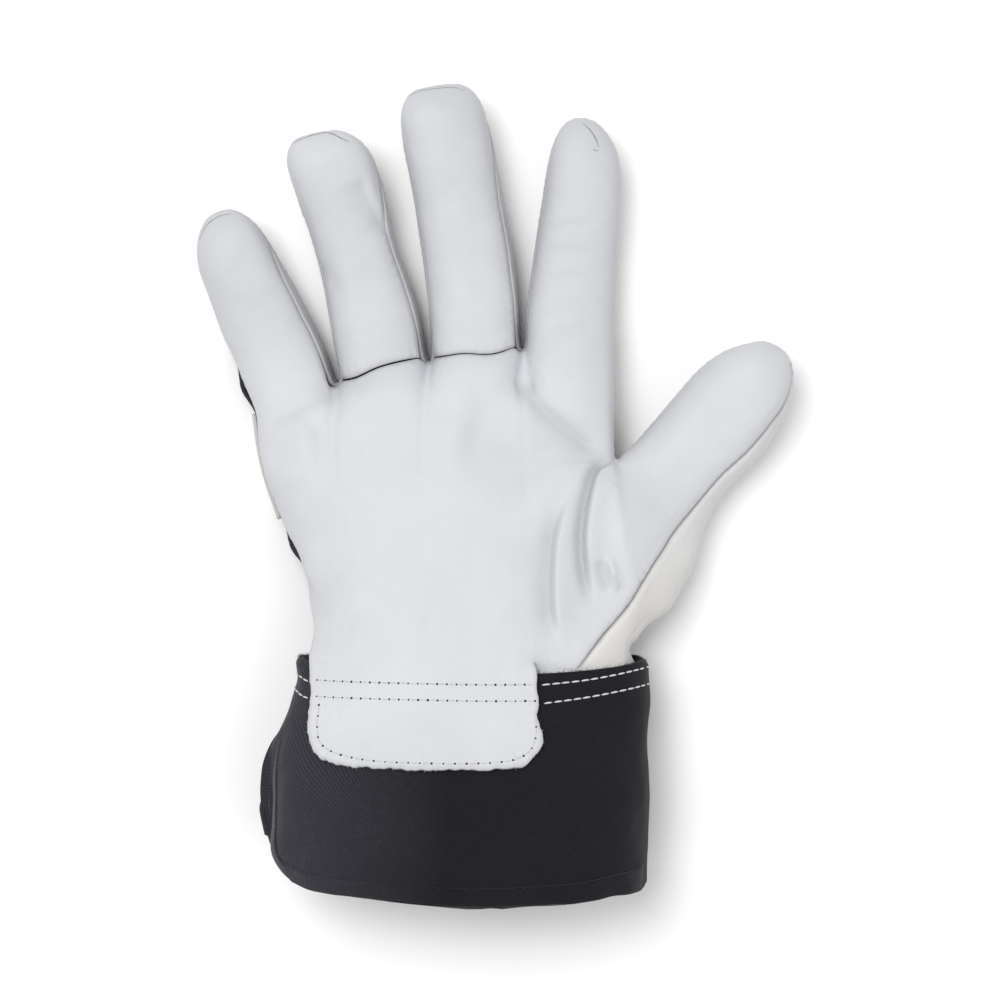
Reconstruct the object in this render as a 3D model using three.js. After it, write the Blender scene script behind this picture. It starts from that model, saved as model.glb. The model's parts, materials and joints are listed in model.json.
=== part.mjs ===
// A rigger glove for the right hand, lying on its back with the palm up.
// Millimetres. X runs across the hand towards the thumb, Y from the cuff to the fingertips, Z up.
// Every piece of leather and cloth is a thin shell: a grid of points on its outer face, with a wall inside it.
import * as THREE from 'three';

// Walls and seams
const LEATHER = 1.3;
const FABRIC = 1.2;
const CUFF_WALL = 1.8;
const BINDING_WALL = 1;
const BINDING_GAP = 0.7;
const SEAM_GAP = 0.4;
const LAYER_GAP = 0.45;
const TIP_GAP = 0.6;
const THUMB_ROOT_GAP = 2.2;
const THUMB_SEAM_GAP = 0.8;
const THUMB_ROOT_RISE = 6;

// Hand
const PALM_LENGTH = 105.5;
const MIDDLE_OFFSET = 0.3;
const CROTCH_WIDTH = 1.4;
const CROTCH_DIP = 1.6;
const THUMB_CROTCH_DEPTH = 37.5;
const KNUCKLE_CROWN = 29;
const FOURCHETTE_WIDTH = 10;
const FOURCHETTE_ROLL = 2.2;
const FOURCHETTE_GAP = 0.8;
const FOURCHETTE_TIGHT = 0.85;

// Digits: length from the root, width, how deep the palm side and the back are, and heading from +Y
const LITTLE_LENGTH = 65.5;
const LITTLE_WIDTH = 28;
const RING_LENGTH = 80;
const RING_WIDTH = 28;
const MIDDLE_LENGTH = 88;
const MIDDLE_WIDTH = 30;
const INDEX_LENGTH = 75.5;
const INDEX_WIDTH = 28;
const THUMB_LENGTH = 82.5;
const THUMB_WIDTH = 33;
const THUMB_ROOT_CROWN = 16;
const THUMB_ROOT_BACK = 18;
const FINGER_CROWN = 12.5;
const FINGER_BACK = 11.5;
const LITTLE_DEPTH = 0.92;
const RING_DEPTH = 0.97;
const THUMB_DEPTH = 1.1;
const FINGERTIP_LENGTH_LITTLE = 42;
const FINGERTIP_LENGTH_RING = 50;
const FINGERTIP_LENGTH_MIDDLE = 54;
const LITTLE_HEADING = -22.5;
const RING_HEADING = -12.9;
const MIDDLE_HEADING = -7.5;
const INDEX_HEADING = 2.2;
const THUMB_HEADING = 36.3;

// Knuckle strap, cuff, patch and binding
const STRAP_WIDTH = 37;
const STRAP_WIDTH_INDEX = 30;
const CUFF_LENGTH = 69;
const CUFF_TOP_WIDTH = 113.6;
const CUFF_TOP_DEPTH = 46;
const CUFF_HEM_WIDTH = 124;
const CUFF_HEM_DEPTH = 60;
const CUFF_CORNER = 16;
const CUFF_SPLIT_LENGTH = 59;
const CUFF_SPLIT_WIDTH = 15;
const CUFF_TOP_BOW = 4.5;
const CUFF_HEM_BOW = 3;
const CUFF_BOW_SHAPE = 1.5;
const CUFF_SINK = 1.5;
const CUFF_ROUND_SHARE = 1.6;
const CUFF_SPLIT_SHAPE = 0.6;
const WRIST_RISE = 3;
const TUCK_LENGTH = 9;
const TUCK_RISE_SHARE = 0.25;
const PATCH_LENGTH = 27.5;
const PATCH_CORNER = 7;
const PATCH_RIGHT = 18.5;
const THUMB_SEAM_START = 32.3;
const WRIST_LEFT_SEAM = 0.91;
const WRIST_BLEND = 0.15;
const STRAP_TOP = 0.98;
const STRAP_TOP_LITTLE = 0.99;
const STRAP_TOP_BLEND = 0.2;
const BINDING_WIDTH = 5;
const BINDING_ROUND = 0.3;

// Each digit's sections, as shares of its width: half its width, and how far its middle lies to the right
const LITTLE_SECTIONS = [
  { along: 0, half: 0.515, side: 0 },
  { along: 0.2, half: 0.525, side: 0.005 },
  { along: 0.4, half: 0.52, side: -0.02 },
  { along: 0.6, half: 0.485, side: -0.025 },
  { along: 0.75, half: 0.46, side: -0.045 },
  { along: 1, half: 0.44, side: -0.02 },
];
const RING_SECTIONS = [
  { along: 0, half: 0.53, side: 0 },
  { along: 0.15, half: 0.535, side: 0.015 },
  { along: 0.3, half: 0.51, side: 0.015 },
  { along: 0.5, half: 0.475, side: -0.01 },
  { along: 0.7, half: 0.505, side: -0.035 },
  { along: 0.84, half: 0.515, side: -0.07 },
  { along: 1, half: 0.5, side: -0.16 },
];
const MIDDLE_SECTIONS = [
  { along: 0, half: 0.495, side: 0 },
  { along: 0.2, half: 0.5, side: 0.045 },
  { along: 0.4, half: 0.5, side: 0.035 },
  { along: 0.6, half: 0.49, side: 0.025 },
  { along: 0.78, half: 0.49, side: -0.02 },
  { along: 1, half: 0.46, side: -0.053 },
];
const INDEX_SECTIONS = [
  { along: 0, half: 0.532, side: 0 },
  { along: 0.16, half: 0.53, side: -0.01 },
  { along: 0.3, half: 0.505, side: 0.005 },
  { along: 0.5, half: 0.49, side: 0.045 },
  { along: 0.65, half: 0.465, side: 0.07 },
  { along: 0.8, half: 0.45, side: 0.08 },
  { along: 1, half: 0.42, side: 0.02 },
];
// The thumb grows out of the side of the hand: joined is the share of its root that is left in the section.
// seam is where the seam on its palm side lies, as a share of half the width
const THUMB_SECTIONS = [
  { along: 0, half: 0.56, side: 0, joined: 1, turn: 0, seam: 0.41 },
  { along: 0.2, half: 0.59, side: 0.04, joined: 0.36, turn: 16, seam: 0.56 },
  { along: 0.43, half: 0.535, side: -0.02, joined: 0, turn: 11, seam: 0.74 },
  { along: 0.62, half: 0.525, side: 0.01, joined: 0, turn: 7, seam: 0.83 },
  { along: 0.77, half: 0.5, side: 0.034, joined: 0, turn: 5, seam: 0.88 },
  { along: 0.9, half: 0.46, side: 0.02, joined: 0, turn: 0, seam: 0.92 },
  { along: 1, half: 0.45, side: -0.02, joined: 0, turn: -4, seam: 0.98 },
];
// The little finger's edge of the hand, away from a straight line from cuff to finger root:
// inward as a share of the hand's width, drop as a share of its depth there
const HAND_EDGE = [
  { along: 0, inward: 0, drop: 0 },
  { along: 0.1, inward: 0.018, drop: 0.19 },
  { along: 0.24, inward: 0.031, drop: 0.25 },
  { along: 0.34, inward: 0.026, drop: 0.11 },
  { along: 0.45, inward: 0.004, drop: 0.2 },
  { along: 0.6, inward: -0.012, drop: 0.16 },
  { along: 0.8, inward: -0.02, drop: 0 },
  { along: 1, inward: 0, drop: 0 },
];
// The cuff's sections: how far it has flared, and how far its middle lies to the left
const CUFF_SECTIONS = [
  { along: 0, flare: 0, left: 0 },
  { along: 0.25, flare: 0.4, left: 0.018 },
  { along: 0.5, flare: 0.96, left: 0.047 },
  { along: 0.75, flare: 1.03, left: 0.046 },
  { along: 1, flare: 0.86, left: 0.049 },
];
// Folds and dents of the palm side: ends as shares of the hand's width and length, bow to the right,
// half width and height as shares of the hand's width
const FOLDS = [
  { name: 'thumb_fold', x0: 0.375, y0: 0.62, x1: 0.34, y1: 0.17, bow: -0.05, wide: 0.035, high: -0.02 },
  { name: 'thumb_ridge', x0: 0.28, y0: 0.59, x1: 0.235, y1: 0.12, bow: -0.04, wide: 0.035, high: 0.01 },
  { name: 'index_crease', x0: 0.13, y0: 0.96, x1: 0.37, y1: 0.68, bow: -0.03, wide: 0.04, high: -0.016 },
  { name: 'little_crease', x0: -0.6, y0: 0.79, x1: -0.38, y1: 0.88, bow: 0, wide: 0.035, high: -0.01 },
  { name: 'palm_hollow', x0: 0.02, y0: 0.75, x1: 0.12, y1: 0.62, bow: 0, wide: 0.11, high: -0.02 },
];

// How full the sections are: 2 is an ellipse, and more is boxier
const FINGER_FULLNESS = 2.5;
const THUMB_FULLNESS = 2.4;
const CUFF_FULLNESS = 2.4;
const TIP_FULLNESS = 2.2;
const HAND_FULLNESS = 3.2;
const DIP_FADE = 0.78;
const EDGE_PULL = 3;

// Shares of a digit's length: where its underside has risen from the cloth of the hand, and where the
// strips between the fingers start to narrow and over what length
const RISE_FROM = 0.3;
const STRIP_FADE_FROM = 0.55;
const STRIP_FADE_LENGTH = 0.35;

// Mesh steps
const ACROSS_FINGER = 6;
const ACROSS_THUMB = 8;
const ACROSS_THUMB_SIDE = 4;
const ALONG_FINGER = 6;
const TIP_STEPS = [0.42, 0.72, 0.9, 1];
const TIP_END = 0.965;
const HAND_SEAM_ROWS = 3;
const HAND_INDEX_ROWS = 4;
const ALONG_BACK = 3;
const ALONG_FINGERTIP = 3;
const PATCH_FADE_COLUMNS = 4;
const FOLD_FADE_COLUMNS = 4;
const CUFF_CORNER_STEPS = 4;
const ACROSS_CUFF = 26;
const ALONG_CUFF = 7;
const TUCK_STEPS = 2;
const STRAP_STEPS = 4;
const STRAP_SHORT = 1;
const PATCH_ROWS = [1, 0.87, 0.6, 0.3, -0.02];
const FOURCHETTE_ROWS = [0.84, 0.7, 0.56, 0.42, 0.28, 0.14, 0];

const LITTLE = {
  length: LITTLE_LENGTH, width: LITTLE_WIDTH, heading: LITTLE_HEADING, sections: LITTLE_SECTIONS,
  crown: FINGER_CROWN * LITTLE_DEPTH, back: FINGER_BACK * LITTLE_DEPTH, tipFrom: 0.72, tipShape: 2, tipLift: 4,
  fourchettes: [0, 1], fingertip: FINGERTIP_LENGTH_LITTLE,
};
const RING = {
  length: RING_LENGTH, width: RING_WIDTH, heading: RING_HEADING, sections: RING_SECTIONS,
  crown: FINGER_CROWN * RING_DEPTH, back: FINGER_BACK * RING_DEPTH, tipFrom: 0.8, tipShape: 2.6, tipLift: 6,
  fourchettes: [1, 1], fingertip: FINGERTIP_LENGTH_RING,
};
const MIDDLE = {
  length: MIDDLE_LENGTH, width: MIDDLE_WIDTH, heading: MIDDLE_HEADING, sections: MIDDLE_SECTIONS,
  crown: FINGER_CROWN, back: FINGER_BACK, tipFrom: 0.82, tipShape: 3, tipLift: 5,
  fourchettes: [1, 1], fingertip: FINGERTIP_LENGTH_MIDDLE,
};
const INDEX = {
  length: INDEX_LENGTH, width: INDEX_WIDTH, heading: INDEX_HEADING, sections: INDEX_SECTIONS,
  crown: FINGER_CROWN, back: FINGER_BACK, tipFrom: 0.7, tipShape: 2.1, tipLift: 3,
  fourchettes: [1, 0],
};
const THUMB = {
  length: THUMB_LENGTH, width: THUMB_WIDTH, heading: THUMB_HEADING, sections: THUMB_SECTIONS,
  crown: FINGER_CROWN * THUMB_DEPTH, back: FINGER_BACK * THUMB_DEPTH, tipFrom: 0.7, tipShape: 2, tipLift: 7,
  rootCrown: THUMB_ROOT_CROWN, rootBack: THUMB_ROOT_BACK, fullness: THUMB_FULLNESS, fourchettes: [0, 0],
};

// Layers under the hand, from the surface that the glove lies on
const STRAP_UNDERSIDE = 0;
const REST_GAP = 0.2;
const BACK_UNDERSIDE = STRAP_UNDERSIDE + LEATHER + SEAM_GAP;
const CUFF_UNDERSIDE = BINDING_WALL + BINDING_GAP;
const PATCH_LIFT = 1.5 * LAYER_GAP + LEATHER;
const TUCK_DEPTH = CUFF_WALL + 2 * LAYER_GAP;
const STRAP_LIFT = LEATHER + 2 * LAYER_GAP;

// How far beyond a seam the next piece's spare points lie
const SIDE_LEAN = 4;
const END_LEAN = 12;
const EDGE_LEAN = 0.3;
const SPARE_STEP = 0.08;

const lerp = (a, b, t) => a + (b - a) * t;
const clamp = (x, low = 0, high = 1) => Math.min(high, Math.max(low, x));
const smooth = (x) => clamp(x) ** 2 * (3 - 2 * clamp(x));
const point = (x, y, z) => new THREE.Vector3(x, y, z);
const mix = (a, b, t) => a.clone().lerp(b, t);
const across = (heading) => {
  const angle = THREE.MathUtils.degToRad(heading);
  return point(Math.cos(angle), -Math.sin(angle), 0);
};
const ahead = (heading) => {
  const angle = THREE.MathUtils.degToRad(heading);
  return point(Math.sin(angle), Math.cos(angle), 0);
};

// One column of a table of sections, read smoothly between its rows.
function read(table, name, along) {
  const last = table.length - 1;
  const k = clamp(table.findIndex((row) => row.along > along) - 1, 0, last - 1);
  const from = along >= table[last].along ? last - 1 : k;
  const slope = (i) => {
    const a = table[Math.max(i - 1, 0)];
    const b = table[Math.min(i + 1, last)];
    return (b[name] - a[name]) / (b.along - a.along);
  };
  const span = table[from + 1].along - table[from].along;
  const t = clamp((along - table[from].along) / span);
  const a = table[from][name];
  const b = table[from + 1][name];
  return a * (1 + 2 * t) * (1 - t) ** 2 + b * t ** 2 * (3 - 2 * t)
    + slope(from) * span * t * (1 - t) ** 2 - slope(from + 1) * span * t ** 2 * (1 - t);
}

// A superellipse: x and z for an angle, and the angle at which it reaches a share of its width or height.
const power = (value, exponent) => Math.sign(value) * Math.abs(value) ** exponent;
const ovalX = (angle, fullness) => power(Math.cos(angle), 2 / fullness);
const ovalZ = (angle, fullness) => power(Math.sin(angle), 2 / fullness);
const angleAtHeight = (share, fullness) => Math.asin(clamp(share) ** (fullness / 2));
const angleAtSide = (share, fullness) => Math.acos(clamp(share) ** (fullness / 2));

// Roots of the fingers, chained outwards from the middle finger with a crotch between each two.
MIDDLE.root = point(MIDDLE_OFFSET, PALM_LENGTH, 0);
const rootEdge = (digit, side) => {
  const row = digit.sections[0];
  return digit.root.clone().addScaledVector(across(digit.heading), (row.side + side * row.half) * digit.width);
};
function rootBeside(digit, neighbour, side) {
  const row = digit.sections[0];
  const heading = (digit.heading + neighbour.heading) / 2;
  return rootEdge(neighbour, side)
    .addScaledVector(across(heading), side * CROTCH_WIDTH)
    .addScaledVector(across(digit.heading), (side * row.half - row.side) * digit.width);
}
RING.root = rootBeside(RING, MIDDLE, -1);
LITTLE.root = rootBeside(LITTLE, RING, -1);
INDEX.root = rootBeside(INDEX, MIDDLE, 1);
const HAND_WIDTH = rootEdge(INDEX, 1).x - rootEdge(LITTLE, -1).x;

// The thumb's root is the line from its crotch to the side of the wrist.
const THUMB_INNER = rootEdge(INDEX, 1).add(point(0, -THUMB_CROTCH_DEPTH, 0));
const THUMB_OUTER = point(CUFF_TOP_WIDTH / 2 - TUCK_DEPTH / 2, cuffTop(0) + WRIST_RISE + THUMB_ROOT_RISE, 0);
THUMB.root = mix(THUMB_INNER, THUMB_OUTER, 0.5);
THUMB.rootHalf = THUMB_INNER.distanceTo(THUMB_OUTER) / 2;
THUMB.rootTurn = THREE.MathUtils.radToDeg(Math.atan2(THUMB_INNER.y - THUMB_OUTER.y,
  THUMB_OUTER.x - THUMB_INNER.x)) - THUMB_HEADING;

// How far down the cuff's top edge lies: it bows down over the palm.
function cuffTop(angle) {
  return CUFF_TOP_BOW * (1 - Math.max(0, Math.sin(angle)) ** CUFF_BOW_SHAPE);
}

// The section of a digit at a share of its length.
function sectionOf(digit, along) {
  const row = (name) => read(digit.sections, name, along);
  const tip = clamp((along - digit.tipFrom) / (1 - digit.tipFrom));
  const joined = digit.rootHalf ? row('joined') : 0;
  const turn = digit.rootHalf ? lerp(row('turn'), digit.rootTurn, joined) : 0;
  const half = lerp(row('half') * digit.width, digit.rootHalf ?? 0, joined);
  const roundTip = (shape, at) => (1 - at ** shape) ** (1 / shape);
  const tipRise = digit.tipLift * smooth((along - RISE_FROM) / (1 - RISE_FROM));
  const rootRise = (BACK_UNDERSIDE - REST_GAP) * (1 - smooth(along / RISE_FROM));
  const high = tip >= 1 ? 0 : roundTip(TIP_FULLNESS, tip);
  const strip = 1 - smooth((along - STRIP_FADE_FROM) / STRIP_FADE_LENGTH);
  const crown = lerp(digit.crown, digit.rootCrown ?? digit.crown, joined);
  const back = lerp(digit.back, digit.rootBack ?? digit.back, joined);
  return {
    fullness: digit.fullness ?? FINGER_FULLNESS,
    lateral: across(digit.heading + turn),
    forward: ahead(digit.heading),
    centre: digit.root.clone()
      .addScaledVector(ahead(digit.heading), digit.length * Math.min(along, lerp(digit.tipFrom, 1, TIP_END)))
      .addScaledVector(across(digit.heading), row('side') * digit.width),
    half: half * roundTip(digit.tipShape, Math.min(tip, TIP_END)),
    reach: tip >= 1 ? digit.length * (1 - digit.tipFrom) * (1 - TIP_END) : 0,
    middle: REST_GAP + (tipRise + rootRise) + back,
    crown: crown * high,
    back: back * high,
    seam: digit.rootHalf ? row('seam') : 1,
    fourchette: (FOURCHETTE_WIDTH / 2) * strip,
    roll: FOURCHETTE_ROLL * strip,
  };
}

// A point of a digit's outer face: angle 0 is its right side, 90 degrees its palm side.
function digitPoint(section, angle) {
  const side = ovalX(angle, section.fullness);
  const height = ovalZ(angle, section.fullness) * (Math.sin(angle) >= 0 ? section.crown : section.back);
  return section.centre.clone()
    .addScaledVector(section.lateral, side * section.half)
    .addScaledVector(section.forward, section.reach * (1 - side ** 2))
    .setZ(section.middle + height);
}

// A panel's row across a digit from its left seam to its right seam, with one spare point beyond each seam.
function rowOf(section, from, to, steps, face) {
  return Array.from({ length: steps + 3 }, (_, i) => {
    const p = digitPoint(section, lerp(from, to, (i - 1) / steps));
    if (section.crown === 0) p.z = section.middle + face * TIP_GAP / 2;
    return p;
  });
}
// The fingers are rolled a little, so that their right seams lie nearer to the palm side.
const rolled = (section, side, face) => (side ? face : -face) * section.roll;
function seamAngle(section, digit, side, face) {
  const depth = face > 0 ? section.crown : section.back;
  const strip = digit.fourchettes[side] ? section.fourchette + rolled(section, side, face) : 0;
  const gap = digit.rootHalf ? THUMB_SEAM_GAP : SEAM_GAP;
  return angleAtHeight((strip + gap / 2) / Math.max(depth, gap), section.fullness);
}
const thumbSeam = (section, face) => angleAtSide(
  section.seam - (face * SEAM_GAP) / 2 / section.half, section.fullness);
function frontRow(digit, along, steps) {
  const section = sectionOf(digit, along);
  const left = Math.PI - seamAngle(section, digit, 0, 1);
  const right = digit.rootHalf ? thumbSeam(section, 1) : seamAngle(section, digit, 1, 1);
  return rowOf(section, left, right, steps, 1);
}
function backRow(digit, along, steps) {
  const section = sectionOf(digit, along);
  const left = -Math.PI + seamAngle(section, digit, 0, -1);
  return rowOf(section, left, -seamAngle(section, digit, 1, -1), steps, -1);
}
const inner = (row) => row.slice(1, -1);

// The thumb's back: the row across its underside, and on round its outer side to the seam on the palm side.
function thumbBackRow(along) {
  const section = sectionOf(THUMB, along);
  const left = -Math.PI + seamAngle(section, THUMB, 0, -1);
  const under = rowOf(section, left, 0, ACROSS_THUMB, -1);
  const side = rowOf(section, 0, thumbSeam(section, -1), ACROSS_THUMB_SIDE, -1);
  return [...under.slice(0, -1), ...side.slice(2)];
}

// A digit's rows from a first one to its tip, and a spare one beyond the seam there.
function digitRows(digit, rowAt, { first, from = 0, shaft = ALONG_FINGER, face = 1 }) {
  const shares = Array.from({ length: shaft + 1 }, (_, i) => lerp(from, digit.tipFrom, i / shaft))
    .concat(TIP_STEPS.map((tip) => lerp(digit.tipFrom, 1, tip)));
  const rows = shares.map((along, j) => (j === 0 && first ? first : rowAt(along)));
  const beyond = rows[rows.length - 1].map((p) => shifted(p, 0, 0, -face * END_LEAN));
  return [...rows, beyond];
}

// A shell in the making: grids of outer points that share their points where they join.
// Faces beside a seam that belong to the next piece only steer the direction of the wall there.
class Panel {
  constructor(wall) {
    this.wall = wall;
    this.ids = new Map();
    this.faces = [];
    this.beside = [];
  }

  id(p) {
    if (!this.ids.has(p)) this.ids.set(p, this.ids.size);
    return this.ids.get(p);
  }

  // Rows run along the piece, each from left to right seen from outside, or from right to left if turned.
  // spare tells how many rows and columns at each end lie beyond a seam.
  add(rows, { turned = false, left = 0, right = 0, first = 0, last = 0 } = {}) {
    for (let j = 0; j + 1 < rows.length; j += 1) {
      const columns = rows[j].length - 1;
      for (let i = 0; i < columns; i += 1) {
        const quad = [rows[j][i], rows[j][i + 1], rows[j + 1][i + 1], rows[j + 1][i]];
        const own = i >= left && i < columns - right && j >= first && j < rows.length - 1 - last;
        (own ? this.faces : this.beside).push(turned ? quad.reverse() : quad);
      }
    }
    return this;
  }

  // The outer face, the inner face one wall inside it, and a rim along every free edge.
  geometry() {
    const faces = this.faces.map((quad) => quad.map((p) => this.id(p)));
    const outer = [...this.ids.keys()];
    const normals = outer.map(() => point(0, 0, 0));
    for (const quad of this.faces.concat(this.beside)) {
      const [a, b, c, d] = quad;
      const n = c.clone().sub(a).cross(d.clone().sub(b));
      quad.filter((p) => this.ids.has(p)).forEach((p) => normals[this.ids.get(p)].add(n));
    }
    const wall = outer.map((p, k) => p.clone().addScaledVector(normals[k].normalize(), -this.wall));
    const shift = outer.length;
    const edges = new Set(faces.flatMap((f) => f.map((a, k) => `${a},${f[(k + 1) % 4]}`)));
    const quads = faces.concat(faces.map((f) => f.map((k) => k + shift).reverse()));
    for (const f of faces) {
      f.forEach((a, k) => {
        const b = f[(k + 1) % 4];
        if (!edges.has(`${b},${a}`)) quads.push([b, a, a + shift, b + shift]);
      });
    }
    return quadGeometry(outer.concat(wall), quads);
  }
}

// A geometry from quads, each cut along its shorter diagonal.
function quadGeometry(vertices, quads) {
  const index = quads.flatMap(([a, b, c, d]) => (
    vertices[a].distanceTo(vertices[c]) <= vertices[b].distanceTo(vertices[d])
      ? [a, b, c, a, c, d] : [b, c, d, b, d, a]));
  const geometry = new THREE.BufferGeometry();
  geometry.setAttribute('position', new THREE.Float32BufferAttribute(vertices.flatMap((p) => p.toArray()), 3));
  geometry.setIndex(index);
  geometry.computeVertexNormals();
  return geometry;
}

// The cuff: how a point lies on it, for an angle round it and a share of its length, lifted off its outer face.
function cuffPoint(angle, along, lift = 0) {
  const flare = read(CUFF_SECTIONS, 'flare', along);
  const half = lerp(CUFF_TOP_WIDTH, CUFF_HEM_WIDTH, flare) / 2 + lift;
  const depth = lerp(CUFF_TOP_DEPTH, CUFF_HEM_DEPTH, flare) / 2;
  const left = read(CUFF_SECTIONS, 'left', along) * CUFF_HEM_WIDTH;
  const hemBow = CUFF_HEM_BOW * along * Math.max(0, Math.sin(angle)) ** CUFF_BOW_SHAPE;
  const z = CUFF_UNDERSIDE - CUFF_SINK + depth + (depth + lift) * ovalZ(angle, CUFF_FULLNESS);
  return point(
    half * ovalX(angle, CUFF_FULLNESS) - left,
    cuffTop(angle) - along * CUFF_LENGTH - hemBow,
    Math.max(z, CUFF_UNDERSIDE - lift),
  );
}

// The angle at which the palm side of the cuff lies at a given x.
function cuffAngle(x, along) {
  const half = lerp(CUFF_TOP_WIDTH, CUFF_HEM_WIDTH, read(CUFF_SECTIONS, 'flare', along)) / 2;
  const share = (x + read(CUFF_SECTIONS, 'left', along) * CUFF_HEM_WIDTH) / half;
  const angle = angleAtSide(Math.abs(share), CUFF_FULLNESS);
  return share < 0 ? Math.PI - angle : angle;
}

// Where the wrist's seams and the patch's right edge meet the cuff's top, as angles round it.
const GAP_ANGLE = (2 * SEAM_GAP) / CUFF_TOP_WIDTH;
const SIDE_ANGLE = angleAtHeight((1.5 * SEAM_GAP) / CUFF_TOP_DEPTH, CUFF_FULLNESS);
const WRIST_LEFT = Math.PI - angleAtSide(WRIST_LEFT_SEAM, CUFF_FULLNESS);
const WRIST_RIGHT = cuffAngle(THUMB_SEAM_START, 0);
const PATCH_END = cuffAngle(PATCH_RIGHT, 0);

// A point of the wrist, a little above the cuff's top edge.
function wristPoint(angle, lift) {
  return cuffPoint(angle, 0, lift).add(point(0, WRIST_RISE, 0));
}

// Rows of the part of a piece that is tucked into the cuff, from its lower end to just above the cuff's edge.
function tuckRows(angles) {
  const from = -WRIST_RISE * TUCK_RISE_SHARE;
  return Array.from({ length: TUCK_STEPS + 1 }, (_, j) => angles.map((angle) => (
    cuffPoint(angle, lerp(TUCK_LENGTH, from, j / TUCK_STEPS) / CUFF_LENGTH, -TUCK_DEPTH))));
}

// How high the folds lift a point of the palm.
function foldHeight(p) {
  return FOLDS.reduce((sum, f) => {
    const from = point(f.x0 * HAND_WIDTH, f.y0 * PALM_LENGTH, 0);
    const along = point(f.x1 * HAND_WIDTH, f.y1 * PALM_LENGTH, 0).sub(from);
    const length = along.length();
    along.normalize();
    const right = point(along.y, -along.x, 0).multiplyScalar(Math.sign(along.y) || 1);
    const to = point(p.x, p.y, 0).sub(from);
    const t = to.dot(along) / length;
    const inside = clamp(t);
    const off = to.dot(right) - 4 * f.bow * HAND_WIDTH * inside * (1 - inside);
    const beyond = (t - inside) * length;
    const wide = f.wide * HAND_WIDTH;
    return sum + f.high * HAND_WIDTH * Math.exp(-(off ** 2 + beyond ** 2) / (2 * wide ** 2));
  }, 0);
}

// The hand's grid between a wrist row, a knuckle row and its two side edges. Its heights are stretched from
// the middle of each row to meet the edges, and the dips between the fingers fade out over the hand.
function handGrid({ wrist, knuckle, even, left, right, shares, face }) {
  const columns = wrist.length - 1;
  const extreme = (heights) => face * Math.max(...heights.map((z) => face * z));
  const wristKeel = extreme(wrist.map((p) => p.z));
  const knuckleKeel = extreme(even);
  return shares.map((v, j) => {
    const keel = lerp(wristKeel, knuckleKeel, v);
    const start = mix(wrist[0], knuckle[0], v);
    const end = mix(wrist[columns], knuckle[columns], v);
    const leftStretch = (left[j].z - keel) / (start.z - keel);
    const rightStretch = (right[j].z - keel) / (end.z - keel);
    return wrist.map((w, i) => {
      if (j === 0) return w;
      if (j === shares.length - 1) return knuckle[i];
      if (i === 0) return left[j];
      if (i === columns) return right[j];
      const u = i / columns;
      const p = mix(w, knuckle[i], v);
      const level = lerp(w.z, even[i], v);
      const dip = (knuckle[i].z - even[i]) * clamp((v - DIP_FADE) / (1 - DIP_FADE)) ** 2;
      p.addScaledVector(left[j].clone().sub(start), (1 - u) ** EDGE_PULL);
      p.addScaledVector(right[j].clone().sub(end), u ** EDGE_PULL);
      return p.setZ(keel + (level - keel) * lerp(leftStretch, rightStretch, smooth(u)) + dip);
    });
  });
}

// The edge of the hand on the little finger's side, from the wrist's seam to the finger's.
function handEdge(wrist, knuckle, face) {
  const from = wristPoint(WRIST_LEFT, 0).add(point(0, 0, (face * SEAM_GAP) / 2));
  return SHARES.map((v) => mix(from, knuckle, v)
    .add(point(read(HAND_EDGE, 'inward', v) * HAND_WIDTH, 0, -read(HAND_EDGE, 'drop', v) * CUFF_TOP_DEPTH))
    .add(point(0, 0, 2 * face * SEAM_GAP * v * (1 - v)))
    .add(wrist.clone().sub(from).multiplyScalar(1 - smooth(v / WRIST_BLEND))));
}

// The knuckle row: the four fingers' roots with a crotch between each two, and the same row without dips.
function knuckleRow(face) {
  const row = face > 0 ? frontRow : backRow;
  const fingers = [LITTLE, RING, MIDDLE, INDEX].map((digit) => row(digit, 0, ACROSS_FINGER));
  const points = fingers.flatMap((finger, k) => {
    const root = inner(finger);
    if (k === 0) return root;
    const before = inner(fingers[k - 1])[ACROSS_FINGER];
    return [mix(before, root[0], 0.5).add(point(0, -CROTCH_DIP, 0)), ...root];
  });
  const first = points[0];
  const last = points[points.length - 1];
  const side = (first.z + last.z) / 2;
  const crown = face > 0 ? KNUCKLE_CROWN : BACK_UNDERSIDE;
  const even = points.map((p) => {
    const off = clamp((2 * (p.x - first.x)) / (last.x - first.x) - 1, -1, 1);
    return side + (crown - side) * (1 - Math.abs(off) ** HAND_FULLNESS) ** (1 / HAND_FULLNESS);
  });
  return { points, even, fingers };
}
const wristAngles = (knuckle, from, to) => {
  const last = knuckle.length - 1;
  const width = knuckle[last].x - knuckle[0].x;
  return knuckle.map((p, i) => lerp(from, to, lerp((p.x - knuckle[0].x) / width, i / last, 0.5)));
};

// Rows of the hand: beside the thumb's seam, across the thumb's root, and up to the index finger.
const steps = (count, from = 0) => Array.from({ length: count + 1 - from }, (_, j) => (j + from) / count);
const thumbRoot = frontRow(THUMB, 0, ACROSS_THUMB);
const thumbBackRoot = thumbBackRow(0);
const sideRows = (start, root, end) => [
  ...steps(HAND_SEAM_ROWS).slice(0, -1).map((t) => (t === 0 ? start : mix(start, root[0], t))),
  ...root,
  ...steps(HAND_INDEX_ROWS, 1).map((t) => (t === 1 ? end : mix(root[root.length - 1], end, t))),
];
const FRONT_KNUCKLES = knuckleRow(1);
const BACK_KNUCKLES = knuckleRow(-1);
const KNUCKLE_COLUMNS = FRONT_KNUCKLES.points.length - 1;
const CROTCHES = [1, 2, 3].map((k) => k * (ACROSS_FINGER + 2) - 1);
const FRONT_ANGLES = wristAngles(FRONT_KNUCKLES.points, WRIST_LEFT - GAP_ANGLE, WRIST_RIGHT);
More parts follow.
